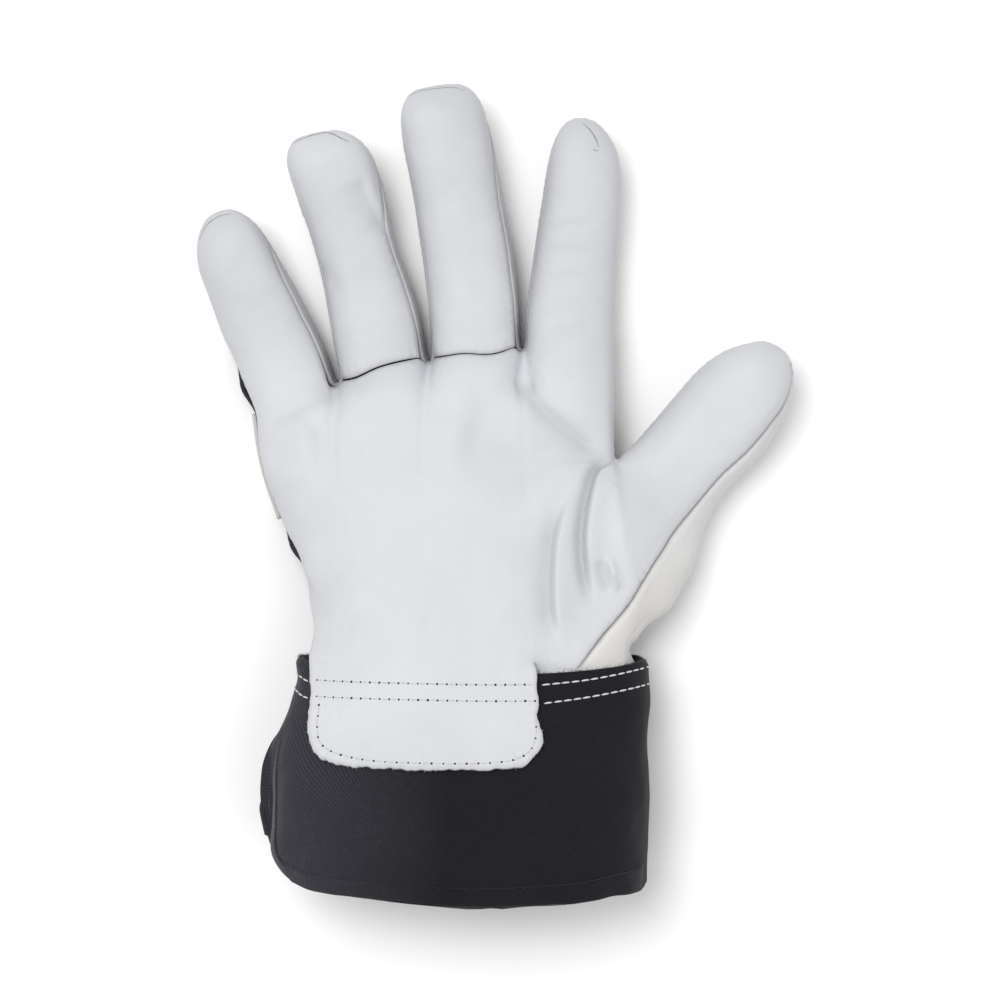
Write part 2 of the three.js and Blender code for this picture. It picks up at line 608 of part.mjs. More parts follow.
const PATCH_COLUMN = FRONT_ANGLES.findIndex((angle) => angle < PATCH_END);
const FRONT_WRIST = FRONT_ANGLES.map((angle, i) => {
  const share = smooth((PATCH_COLUMN - i + PATCH_FADE_COLUMNS / 2) / PATCH_FADE_COLUMNS);
  return wristPoint(angle, lerp(-TUCK_DEPTH, PATCH_LIFT, share));
});
const FRONT_SIDE = sideRows(
  FRONT_WRIST[KNUCKLE_COLUMNS],
  inner(thumbRoot).reverse(),
  FRONT_KNUCKLES.points[KNUCKLE_COLUMNS],
);
const SHARES = FRONT_SIDE.map((p) => (
  (p.y - FRONT_SIDE[0].y) / (FRONT_SIDE[FRONT_SIDE.length - 1].y - FRONT_SIDE[0].y)));

// A grid with one spare column beyond each side edge.
function withSpares(grid, leftSpare, rightSpare) {
  return grid.map((row, j) => [leftSpare(row[0], j), ...row, rightSpare(row[row.length - 1], j)]);
}
const shifted = (p, x, y, z) => p.clone().add(point(x, y, z));

// Palm: the front of the hand, the little finger, the index finger and the thumb, and the patch on the cuff.
function palmPanel() {
  const panel = new Panel(LEATHER);
  const { points: knuckle, even, fingers } = FRONT_KNUCKLES;
  const left = handEdge(FRONT_WRIST[0], knuckle[0], 1);
  const hand = handGrid({ wrist: FRONT_WRIST, knuckle, even, left, right: FRONT_SIDE, shares: SHARES, face: 1 });
  hand.slice(1, -1).forEach((row) => inner(row).forEach((p, i) => {
    p.z += foldHeight(p) * smooth((KNUCKLE_COLUMNS - 1 - i) / FOLD_FADE_COLUMNS);
  }));
  const seamRows = HAND_SEAM_ROWS;
  const indexRows = SHARES.length - 1 - HAND_INDEX_ROWS;
  const under = (p) => shifted(p, 0, 0, -SIDE_LEAN);
  const over = (p) => shifted(p, SIDE_LEAN, 0, -SIDE_LEAN / 4);
  const spare = withSpares(hand, under, (p, j) => (j <= seamRows ? over(p) : under(p)));
  panel.add(spare.slice(0, seamRows + 1), { left: 1, right: 1 });
  panel.add(hand.slice(seamRows, indexRows + 1));
  panel.add(spare.slice(indexRows), { left: 1, right: 1 });
  panel.add(spare.slice(seamRows, indexRows + 1).map((row) => row.slice(0, 2)), { left: 1 });

  [[LITTLE, fingers[0]], [INDEX, fingers[3]], [THUMB, thumbRoot]].forEach(([digit, first]) => {
    const rows = digitRows(digit, (along) => frontRow(digit, along, first.length - 3), { first });
    panel.add(rows, { left: 1, right: 1, last: 1 });
  });
  CROTCHES.map((k) => knuckle.slice(k - 1, k + 2)).forEach((row) => {
    panel.add([row, row.map((p) => shifted(p, 0, 0, -END_LEAN))], { last: 1 });
  });
  [[RING, fingers[1]], [MIDDLE, fingers[2]]].forEach(([finger, root]) => {
    panel.add([root, frontRow(finger, SPARE_STEP, ACROSS_FINGER)].map(inner), { last: 1 });
  });

  const top = FRONT_ANGLES.slice(0, PATCH_COLUMN + 1).map((angle) => cuffPoint(angle, 0).x);
  const patch = PATCH_ROWS.map((t) => top.map((x) => {
    const edge = Math.min(x - top[0], top[PATCH_COLUMN] - x);
    const corner = Math.max(0, PATCH_CORNER - edge);
    const cut = PATCH_CORNER - Math.sqrt(PATCH_CORNER ** 2 - corner ** 2);
    const along = (t * (PATCH_LENGTH - cut * clamp(t))) / CUFF_LENGTH;
    return cuffPoint(cuffAngle(x, along), along, PATCH_LIFT);
  }));
  panel.add([...patch, hand[0].slice(0, PATCH_COLUMN + 1)]);
  return panel.add([...tuckRows(FRONT_ANGLES.slice(PATCH_COLUMN)), hand[0].slice(PATCH_COLUMN)]);
}

function frontPanel(digit) {
  const rowAt = (along) => frontRow(digit, along, ACROSS_FINGER);
  const rows = digitRows(digit, rowAt, { from: SEAM_GAP / digit.length });
  return new Panel(LEATHER).add([rowAt(-SPARE_STEP), ...rows], { left: 1, right: 1, first: 1, last: 1 });
}

// Back: the black cloth of the hand and of the finger roots.
const BACK_ANGLES = wristAngles(BACK_KNUCKLES.points, WRIST_LEFT + GAP_ANGLE, 2 * Math.PI - SIDE_ANGLE);
const BACK_GRID = (() => {
  const { points: knuckle, even } = BACK_KNUCKLES;
  const wrist = BACK_ANGLES.map((angle) => wristPoint(angle, -TUCK_DEPTH));
  const away = ahead(THUMB_HEADING).multiplyScalar(-THUMB_ROOT_GAP);
  const root = thumbBackRoot.slice(1, ACROSS_THUMB + 2).map((p) => p.clone().add(away)).reverse();
  root[0].z -= THUMB_ROOT_GAP / 2;
  root[ACROSS_THUMB].z -= THUMB_ROOT_GAP / 2;
  const right = sideRows(wrist[KNUCKLE_COLUMNS], root, knuckle[KNUCKLE_COLUMNS]);
  const left = handEdge(wrist[0], knuckle[0], -1);
  return handGrid({ wrist, knuckle, even, left, right, shares: SHARES, face: -1 });
})();

// Thumb back: across the thumb's underside and round its outer side, and from there down into the cuff.
const THUMB_BACK_ROWS = digitRows(THUMB, thumbBackRow, { first: thumbBackRoot, face: -1 });
const THUMB_BASE = (() => {
  const rim = thumbBackRoot.slice(ACROSS_THUMB + 1, -1);
  const angles = rim.map((_, i) => lerp(SIDE_ANGLE, WRIST_RIGHT - GAP_ANGLE, i / (rim.length - 1)));
  const wrist = angles.map((angle) => wristPoint(angle, -TUCK_DEPTH));
  const rows = steps(HAND_SEAM_ROWS).map((t) => rim.map((p, i) => (t === 1 ? p : mix(wrist[i], p, t))));
  return { rows, tuck: tuckRows(angles) };
})();

function backPanel() {
  const start = HAND_SEAM_ROWS;
  const end = start + ACROSS_THUMB;
  const over = (p) => shifted(p, 0, 0, SIDE_LEAN);
  const beyond = (p, j) => {
    if (j <= start) return THUMB_BASE.rows[j][1];
    return j < end ? THUMB_BACK_ROWS[1][1 + end - j] : over(p);
  };
  const spare = withSpares(BACK_GRID, over, beyond);
  const panel = new Panel(FABRIC).add(spare, { turned: true, left: 1, right: 1 });
  [[LITTLE, 0], [RING, 1], [MIDDLE, 2]].forEach(([digit, k]) => {
    const until = 1 - digit.fingertip / digit.length;
    const rows = steps(ALONG_BACK).map((t) => backRow(digit, until * t, ACROSS_FINGER));
    rows[0] = BACK_KNUCKLES.fingers[k];
    rows.push(backRow(digit, until + SPARE_STEP, ACROSS_FINGER));
    panel.add(rows, { turned: true, left: 1, right: 1, last: 1 });
  });
  const index = [BACK_KNUCKLES.fingers[3], backRow(INDEX, SPARE_STEP, ACROSS_FINGER)].map(inner);
  panel.add(index, { turned: true, last: 1 });
  CROTCHES.map((k) => BACK_KNUCKLES.points.slice(k - 1, k + 2)).forEach((row) => {
    panel.add([row, row.map((p) => shifted(p, 0, 0, END_LEAN))], { turned: true, last: 1 });
  });
  return panel.add([...tuckRows(BACK_ANGLES), BACK_GRID[0]], { turned: true });
}

function thumbBackPanel() {
  const start = HAND_SEAM_ROWS;
  const end = start + ACROSS_THUMB;
  const panel = new Panel(LEATHER).add(THUMB_BACK_ROWS, { turned: true, left: 1, right: 1, last: 1 });
  const seam = thumbBackRoot.slice(1, ACROSS_THUMB + 2);
  const before = seam.map((_, i) => BACK_GRID[end - i][KNUCKLE_COLUMNS - 1]);
  panel.add([before, seam], { turned: true, first: 1 });
  const spare = withSpares(
    THUMB_BASE.rows,
    (p, j) => BACK_GRID[Math.min(j, start)][KNUCKLE_COLUMNS - 1],
    (p) => shifted(p, -SIDE_LEAN, 0, SIDE_LEAN / 4),
  );
  return panel.add(spare, { turned: true, left: 1, right: 1 })
    .add([...THUMB_BASE.tuck, THUMB_BASE.rows[0]], { turned: true });
}

function fingertipPanel(digit) {
  const from = (digit.fingertip ? 1 - digit.fingertip / digit.length : 0) + SEAM_GAP / digit.length;
  const rowAt = (along) => backRow(digit, along, ACROSS_FINGER);
  const shaft = digit.fingertip ? ALONG_FINGERTIP : ALONG_FINGER;
  const rows = digitRows(digit, rowAt, { from, shaft, face: -1 });
  return new Panel(LEATHER)
    .add([rowAt(from - SPARE_STEP), ...rows], { turned: true, left: 1, right: 1, first: 1, last: 1 });
}

// Fourchette: the narrow strip down one finger's side, through the crotch and up the next finger's side.
function fourchettePanel(leftDigit, rightDigit) {
  const stripAt = (digit, side, along) => {
    const section = sectionOf(digit, along);
    const edge = (face) => {
      const depth = face > 0 ? section.crown : section.back;
      const strip = section.fourchette + rolled(section, side, face);
      return angleAtHeight((strip - FOURCHETTE_GAP) / depth, section.fullness) * face;
    };
    return [edge(1) + EDGE_LEAN, edge(1), 0, edge(-1), edge(-1) - EDGE_LEAN]
      .map((angle) => digitPoint(section, side ? angle : Math.PI - angle));
  };
  const down = FOURCHETTE_ROWS.map((along) => stripAt(leftDigit, 1, along));
  const up = FOURCHETTE_ROWS.map((along) => stripAt(rightDigit, 0, along)).reverse();
  const bottom = down[down.length - 1].map((p, k) => mix(p, up[0][k], 0.5).add(point(0, -CROTCH_DIP, 0)));
  const crotch = bottom.map((p) => mix(bottom[2], p, FOURCHETTE_TIGHT));
  return new Panel(LEATHER).add([...down, crotch, ...up], { turned: true, left: 1, right: 1 });
}

// Knuckle strap: a band over the back, lifted off it.
function strapPanel() {
  const at = (i, v) => {
    const j = clamp(SHARES.findIndex((share) => share > v) - 1, 0, SHARES.length - 2);
    const t = (v - SHARES[j]) / (SHARES[j + 1] - SHARES[j]);
    return mix(BACK_GRID[j][i], BACK_GRID[j + 1][i], t);
  };
  const rows = steps(STRAP_STEPS).map((t) => BACK_GRID[0].slice(0, -STRAP_SHORT).map((_, i) => {
    const u = i / KNUCKLE_COLUMNS;
    const top = lerp(STRAP_TOP_LITTLE, STRAP_TOP, smooth(u / STRAP_TOP_BLEND));
    const wide = lerp(STRAP_WIDTH, STRAP_WIDTH_INDEX, u) / PALM_LENGTH;
    return at(i, lerp(top - wide, top, t));
  }));
  return new Panel(LEATHER).add(liftRows(rows, STRAP_LIFT), { turned: true });
}

// Rows of points moved off the face that they lie on, down to the surface that the glove rests on.
function liftRows(rows, lift) {
  return rows.map((row, j) => row.map((p, i) => {
    const alongRow = row[Math.min(i + 1, row.length - 1)].clone().sub(row[Math.max(i - 1, 0)]);
    const upRows = rows[Math.min(j + 1, rows.length - 1)][i].clone().sub(rows[Math.max(j - 1, 0)][i]);
    const q = p.clone().addScaledVector(upRows.cross(alongRow).normalize(), lift);
    return q.setZ(Math.max(q.z, STRAP_UNDERSIDE));
  }));
}

// The cuff's sheet as if laid flat: s runs round it from the split's front edge, t down from its top edge.
const SPLIT_TOP = CUFF_LENGTH - CUFF_SPLIT_LENGTH;
const CUFF_ROUND = (CUFF_HEM_WIDTH + CUFF_HEM_DEPTH) * CUFF_ROUND_SHARE;
function sheetPoint(s, t, lift = 0) {
  const open = clamp((t - SPLIT_TOP) / CUFF_SPLIT_LENGTH) ** CUFF_SPLIT_SHAPE * (CUFF_SPLIT_WIDTH / 2);
  const edge = Math.PI - angleAtHeight(open / (CUFF_HEM_DEPTH / 2), CUFF_FULLNESS);
  return cuffPoint(lerp(edge, -edge, s / CUFF_ROUND), t / CUFF_LENGTH, lift);
}
const CORNER_STEPS = steps(CUFF_CORNER_STEPS).map((t) => (t * Math.PI) / 2);
const SPLIT_ROWS = steps(ALONG_CUFF).map((t) => lerp(SPLIT_TOP, CUFF_LENGTH - CUFF_CORNER, t));
const CUFF_COLUMNS = steps(ACROSS_CUFF).map((t) => lerp(CUFF_CORNER, CUFF_ROUND - CUFF_CORNER, t));

// The cuff's free edge from the split's front round the corners and along the hem: points of the flat
// sheet, each with its direction inwards.
const FREE_EDGE = (() => {
  const front = [
    ...SPLIT_ROWS.slice(1, -1).map((t) => ({ s: 0, t, ds: 1, dt: 0 })),
    ...CORNER_STEPS.map((angle) => ({
      s: CUFF_CORNER * (1 - Math.cos(angle)),
      t: CUFF_LENGTH - CUFF_CORNER * (1 - Math.sin(angle)),
      ds: Math.cos(angle),
      dt: -Math.sin(angle),
    })),
  ];
  const back = front.map(({ s, t, ds, dt }) => ({ s: CUFF_ROUND - s, t, ds: -ds, dt })).reverse();
  const hem = inner(CUFF_COLUMNS).map((s) => ({ s, t: CUFF_LENGTH, ds: 0, dt: -1 }));
  return [...front, ...hem, ...back];
})();
function cuffEdge(inset, lift) {
  return FREE_EDGE.map(({ s, t, ds, dt }) => {
    const edge = sheetPoint(s, t, lift);
    const inwards = sheetPoint(s + ds, t + dt, lift).sub(edge);
    const step = inset / inwards.length();
    return inset < 0 ? edge.addScaledVector(inwards, step) : sheetPoint(s + ds * step, t + dt * step, lift);
  });
}

// Cuff: a band round the wrist, closed at the top and split below on the little finger's side.
function cuffPanel() {
  const corner = CORNER_STEPS.slice(0, -1).map((angle) => CUFF_CORNER * (1 - Math.cos(angle)));
  const columns = [...corner, ...CUFF_COLUMNS, ...corner.map((s) => CUFF_ROUND - s).reverse()];
  const bottom = (s) => {
    const off = Math.max(0, CUFF_CORNER - Math.min(s, CUFF_ROUND - s));
    return CUFF_LENGTH - CUFF_CORNER + Math.sqrt(CUFF_CORNER ** 2 - off ** 2);
  };
  const top = [0, SPLIT_TOP / 2, SPLIT_TOP].map((t) => columns.map((s) => sheetPoint(s, t)));
  const low = SPLIT_ROWS.slice(1).map((t) => columns.map((s) => (
    sheetPoint(s, lerp(SPLIT_TOP, bottom(s), (t - SPLIT_TOP) / (CUFF_LENGTH - CUFF_CORNER - SPLIT_TOP))))));
  const rows = [...top, ...low];
  top.forEach((row) => row.splice(-1, 1, row[0]));
  return new Panel(CUFF_WALL).add(rows, { turned: true });
}

// Binding: a tape folded over the cuff's free edge.
function bindingPanel() {
  const out = BINDING_GAP + BINDING_WALL;
  const under = CUFF_WALL + out + LAYER_GAP / 2;
  const round = out * BINDING_ROUND;
  const rows = [
    cuffEdge(BINDING_WIDTH, out),
    cuffEdge(-round, out),
    cuffEdge(-out, round),
    cuffEdge(-out, round - under),
    cuffEdge(-round, -under),
    cuffEdge(BINDING_WIDTH, -under),
  ];
  return new Panel(BINDING_WALL).add(rows, { turned: true });
}

const glove = new THREE.Group();
const material = (color, roughness) => new THREE.MeshStandardMaterial({ color, roughness, metalness: 0 });
const PIECES = {
  palm: [palmPanel(), material(0xdedfe3, 0.6)],
  ring_front: [frontPanel(RING), material(0xdbdce0, 0.6)],
  middle_front: [frontPanel(MIDDLE), material(0xdbdce0, 0.6)],
  thumb_back: [thumbBackPanel(), material(0xe4e0dc, 0.62)],
  index_back: [fingertipPanel(INDEX), material(0xdedcd8, 0.62)],
  little_fingertip: [fingertipPanel(LITTLE), material(0xdedcd8, 0.62)],
  ring_fingertip: [fingertipPanel(RING), material(0xdedcd8, 0.62)],
  middle_fingertip: [fingertipPanel(MIDDLE), material(0xdedcd8, 0.62)],
  fourchette_little_ring: [fourchettePanel(LITTLE, RING), material(0xc9cacd, 0.65)],
  fourchette_ring_middle: [fourchettePanel(RING, MIDDLE), material(0xc9cacd, 0.65)],
  fourchette_middle_index: [fourchettePanel(MIDDLE, INDEX), material(0xc9cacd, 0.65)],
  back: [backPanel(), material(0x1a1a1e, 0.9)],
  knuckle_strap: [strapPanel(), material(0xe2deda, 0.62)],
  cuff: [cuffPanel(), material(0x1e1f24, 0.8)],
  cuff_binding: [bindingPanel(), material(0x17181c, 0.85)],
};
Object.entries(PIECES).forEach(([name, [panel, finish]]) => {
  const mesh = new THREE.Mesh(panel.geometry(), finish);
  mesh.name = name;
  glove.add(mesh);
});

// The glove rests on its back, its box centred over the origin.
const box = new THREE.Box3().setFromObject(glove);
const centre = box.getCenter(new THREE.Vector3());
glove.position.set(-centre.x, -centre.y, -box.min.z);
glove.updateMatrixWorld(true);

export default glove;
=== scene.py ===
"""A rigger glove on a pale floor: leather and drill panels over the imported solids, sewn and creased."""
import json
import math
import random

import bmesh
import bpy
import numpy as np
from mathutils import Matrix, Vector
from mathutils.bvhtree import BVHTree
from mathutils.kdtree import KDTree


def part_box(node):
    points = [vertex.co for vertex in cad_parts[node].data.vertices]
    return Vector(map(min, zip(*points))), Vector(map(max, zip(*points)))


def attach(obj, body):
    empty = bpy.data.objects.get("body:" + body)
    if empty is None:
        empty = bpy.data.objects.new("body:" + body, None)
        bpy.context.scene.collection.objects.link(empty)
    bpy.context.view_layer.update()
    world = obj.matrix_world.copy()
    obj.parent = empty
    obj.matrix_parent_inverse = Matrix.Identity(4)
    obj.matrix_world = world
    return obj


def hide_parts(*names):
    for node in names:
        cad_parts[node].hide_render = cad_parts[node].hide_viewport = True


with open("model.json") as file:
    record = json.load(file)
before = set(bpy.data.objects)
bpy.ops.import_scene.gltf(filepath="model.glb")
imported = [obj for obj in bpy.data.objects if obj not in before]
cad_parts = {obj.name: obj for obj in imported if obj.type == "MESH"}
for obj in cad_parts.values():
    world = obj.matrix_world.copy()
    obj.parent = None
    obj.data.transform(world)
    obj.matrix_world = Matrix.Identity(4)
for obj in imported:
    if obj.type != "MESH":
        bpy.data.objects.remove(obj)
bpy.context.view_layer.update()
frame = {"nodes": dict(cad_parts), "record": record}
MM = 0.001
RNG = random.Random(7)

# Camera
CAMERA_X = 1.84 * MM
CAMERA_Y = -3.68 * MM
CAMERA_HEIGHT = 1.0
FRAME_WIDTH = 0.3347
FRAME_PIXELS = 1000

scene = bpy.context.scene
camera_data = bpy.data.cameras.new("camera")
camera = bpy.data.objects.new("camera", camera_data)
scene.collection.objects.link(camera)
camera.location = (CAMERA_X, CAMERA_Y, CAMERA_HEIGHT)
camera_data.lens = camera_data.sensor_width * CAMERA_HEIGHT / FRAME_WIDTH
camera_data.clip_start = 0.05
camera_data.dof.use_dof = False
scene.camera = camera


def spot(px, py, height=20.0):
    """The place in mm that the frame shows at a pixel, at a height over the floor."""
    scale = FRAME_WIDTH / FRAME_PIXELS * (CAMERA_HEIGHT / MM - height)
    return (CAMERA_X / MM + (px - 500) * scale, CAMERA_Y / MM - (py - 500) * scale)


def link(name, mesh):
    obj = bpy.data.objects.new(name, mesh)
    scene.collection.objects.link(obj)
    return obj


def coords(mesh):
    co = np.zeros(len(mesh.vertices) * 3)
    mesh.vertices.foreach_get("co", co)
    return co.reshape(-1, 3)


# Sheets
WELD = 2e-6
WALL_SLACK = 2e-6
CALM_LOW = (300, 652)
CALM_HIGH = (612, 372)
CALM_FADE = 7
CALM_HEIGHT = 30
CALM_ROUNDS = 60
CORRECTION_ROUNDS = 3
CORRECTION_STEP = 0.9
CORRECTION_CAP = 0.25


def outer_face(node, wall, inward=False):
    """The outer face of a thin CAD shell, as a mesh of quads without its inner face and rim."""
    bm = bmesh.new()
    bm.from_mesh(frame["nodes"][node].data)
    bmesh.ops.remove_doubles(bm, verts=bm.verts[:], dist=WELD)

    through = {e for e in bm.edges if abs(e.calc_length() - wall * MM) < WALL_SLACK}
    beside_wall = {f for e in through for f in e.link_faces}

    def in_rim(face):
        """Whether a face beside an edge through the wall shares its diagonal with another such face."""
        return any(f is not face and f in beside_wall for e in face.edges if e not in through
                   for f in e.link_faces)

    rim = {f for f in beside_wall if in_rim(f)}
    left = [f for f in bm.faces if f not in rim]
    todo = set(left)
    parts = []
    for first in left:
        if first not in todo:
            continue
        todo.discard(first)
        part = [first]
        for face in part:
            for edge in face.edges:
                for other in edge.link_faces:
                    if other in todo:
                        todo.discard(other)
                        part.append(other)
        parts.append(part)
    parts.sort(key=len)

    def outwards(part):
        middle = sum((f.calc_center_median() for f in part), Vector()) / len(part)
        total = sum(f.calc_area() * f.normal.dot(f.calc_center_median() - middle) for f in part)
        return -total if inward else total

    keep = set(max(parts[-2:], key=outwards))
    bmesh.ops.delete(bm, geom=[f for f in bm.faces if f not in keep], context="FACES")
    bmesh.ops.join_triangles(bm, faces=bm.faces[:], angle_face_threshold=math.pi,
                             angle_shape_threshold=math.pi)
    mesh = bpy.data.meshes.new(node + "_cage")
    bm.to_mesh(mesh)
    bm.free()
    return mesh


def calmed(cage, rounds):
    """Evens out the heights of the middle of the palm, where the hand's grid and its folds show through."""
    points = coords(cage)
    edges = np.array([e.vertices[:] for e in cage.edges])
    low = np.array(spot(*CALM_LOW)) * MM
    high = np.array(spot(*CALM_HIGH)) * MM
    off = np.minimum(points[:, :2] - np.minimum(low, high), np.maximum(low, high) - points[:, :2]).min(1)
    share = smooth(off / (CALM_FADE * MM)) * (points[:, 2] > CALM_HEIGHT * MM)
    pull = 1 / np.linalg.norm(points[edges[:, 0]] - points[edges[:, 1]], axis=1)
    count = np.bincount(edges.ravel(), weights=np.repeat(pull, 2), minlength=len(points))
    for _ in range(rounds):
        total = np.zeros(len(points))
        np.add.at(total, edges[:, 0], points[edges[:, 1], 2] * pull)
        np.add.at(total, edges[:, 1], points[edges[:, 0], 2] * pull)
        points[:, 2] += share * (total / count - points[:, 2])
    cage.vertices.foreach_set("co", points.ravel())


def rounded(cage, level):
    """The cage subdivided so that it still passes through its own points: points and faces."""
    cage = cage.copy()
    obj = link("cage", cage)
    modifier = obj.modifiers.new("round", "SUBSURF")
    modifier.levels = level
    modifier.boundary_smooth = "PRESERVE_CORNERS"
    target = coords(cage)
    control = target.copy()
    edges = np.array([e.vertices[:] for e in cage.edges])
    size = np.linalg.norm(target[edges[:, 0]] - target[edges[:, 1]], axis=1)
    shortest = np.full(len(target), 1.0)
    for k in range(2):
        np.minimum.at(shortest, edges[:, k], size)
    for _ in range(CORRECTION_ROUNDS):
        bpy.context.view_layer.update()
        got = coords(obj.evaluated_get(bpy.context.evaluated_depsgraph_get()).data)[: len(target)]
        moved = control + CORRECTION_STEP * (target - got) - target
        far = np.linalg.norm(moved, axis=1)
        moved *= (np.minimum(far, CORRECTION_CAP * shortest) / np.maximum(far, 1e-12))[:, None]
        control = target + moved
        cage.vertices.foreach_set("co", control.ravel())
        cage.update()
    bpy.context.view_layer.update()
    fine = obj.evaluated_get(bpy.context.evaluated_depsgraph_get()).data
    points = coords(fine)
    faces = np.zeros(len(fine.loops), int)
    fine.loops.foreach_get("vertex_index", faces)
    bpy.data.objects.remove(obj)
    bpy.data.meshes.remove(cage)
    return points, faces.reshape(-1, 4)


def vertex_normals(points, faces):
    quads = points[faces]
    flat = np.cross(quads[:, 2] - quads[:, 0], quads[:, 3] - quads[:, 1])
    normals = np.zeros_like(points)
    for k in range(4):
        np.add.at(normals, faces[:, k], flat)
    return normals / np.maximum(np.linalg.norm(normals, axis=1, keepdims=True), 1e-20)


def border_loops(faces):
    """The open edges of a sheet as loops of vertex numbers, with the sheet on the left."""
    edges = {(int(f[k]), int(f[(k + 1) % 4])) for f in faces for k in range(4)}
    after = {a: b for a, b in edges if (b, a) not in edges}
    loops = []
    while after:
        first = min(after)
        loop = [first]
        while loop[-1] in after:
            loop.append(after.pop(loop[-1]))
        loops.append(loop[:-1])
    return loops


class Sheet:
    """A dense sheet with its normals, its open edges, and how far each point lies from them."""

    def __init__(self, cage, level):
        self.points, self.faces = rounded(cage, level)
        self.normals = vertex_normals(self.points, self.faces)
        self.loops = border_loops(self.faces)
        order = [v for loop in self.loops for v in loop]
        tree = KDTree(len(order))
        run = []
        for loop in self.loops:
            ends = self.points[loop]
            steps = np.linalg.norm(np.roll(ends, -1, axis=0) - ends, axis=1)
            run.extend(np.concatenate([[0], np.cumsum(steps)[:-1]]))
        for k, v in enumerate(order):
            tree.insert(self.points[v], k)
        tree.balance()
        found = [tree.find(p) for p in self.points]
        self.edge_off = np.array([f[2] for f in found]) / MM
        self.edge_run = np.array([run[f[1]] for f in found]) / MM
        self.edge_point = np.array([order[f[1]] for f in found])
        self.edge_at = self.points[self.edge_point] / MM

    def refresh(self):
        self.normals = vertex_normals(self.points, self.faces)


def smooth(x):
    x = np.clip(x, 0, 1)
    return x * x * (3 - 2 * x)


def waves(points, length, count, seed):
    """Soft random unevenness from -1 to 1, of a given wavelength in mm."""
    rng = np.random.default_rng(seed)
    total = np.zeros(len(points))
    for _ in range(count):
        way = rng.normal(size=3)
        way *= 2 * math.pi / (length * rng.uniform(0.7, 1.5) * np.linalg.norm(way))
        total += np.sin(points @ way / MM + rng.uniform(0, 6.28))
    return total / math.sqrt(count)


def curve_through(marks, count=40):
    """A smooth line through marks, Catmull-Rom, as count points."""
    marks = np.array(marks, float)
    ends = np.vstack([2 * marks[0] - marks[1], marks, 2 * marks[-1] - marks[-2]])
    out = []
    for u in np.linspace(0, len(marks) - 1 - 1e-9, count):
        k = int(u)
        t = u - k
        a, b, c, d = ends[k: k + 4]
        out.append(0.5 * (2 * b + (c - a) * t + (2 * a - 5 * b + 4 * c - d) * t ** 2
                          + (3 * b - a - 3 * c + d) * t ** 3))
    return np.array(out)


def beside(points, line):
    """For each point in mm: its signed distance to a line and its share along it. For a line that runs down
    the frame, the distance is negative on its left."""
    best = np.full(len(points), 1e9)
    side = np.zeros(len(points))
    share = np.zeros(len(points))
    step = np.diff(line, axis=0)
    size = np.linalg.norm(step, axis=1)
    total = size.sum()
    run = 0.0
    for a, s, n in zip(line[:-1], step, size):
        to = points - a
        t = np.clip((to @ s) / n ** 2, 0, 1)
        off = to - t[:, None] * s
        d = np.hypot(off[:, 0], off[:, 1])
        near = d < best
        best = np.where(near, d, best)
        sign = np.where(s[1] * to[:, 0] - s[0] * to[:, 1] >= 0, -1, 1)
        side = np.where(near, sign, side)
        share = np.where(near, (run + t * n) / total, share)
        run += n
    return best * side, share


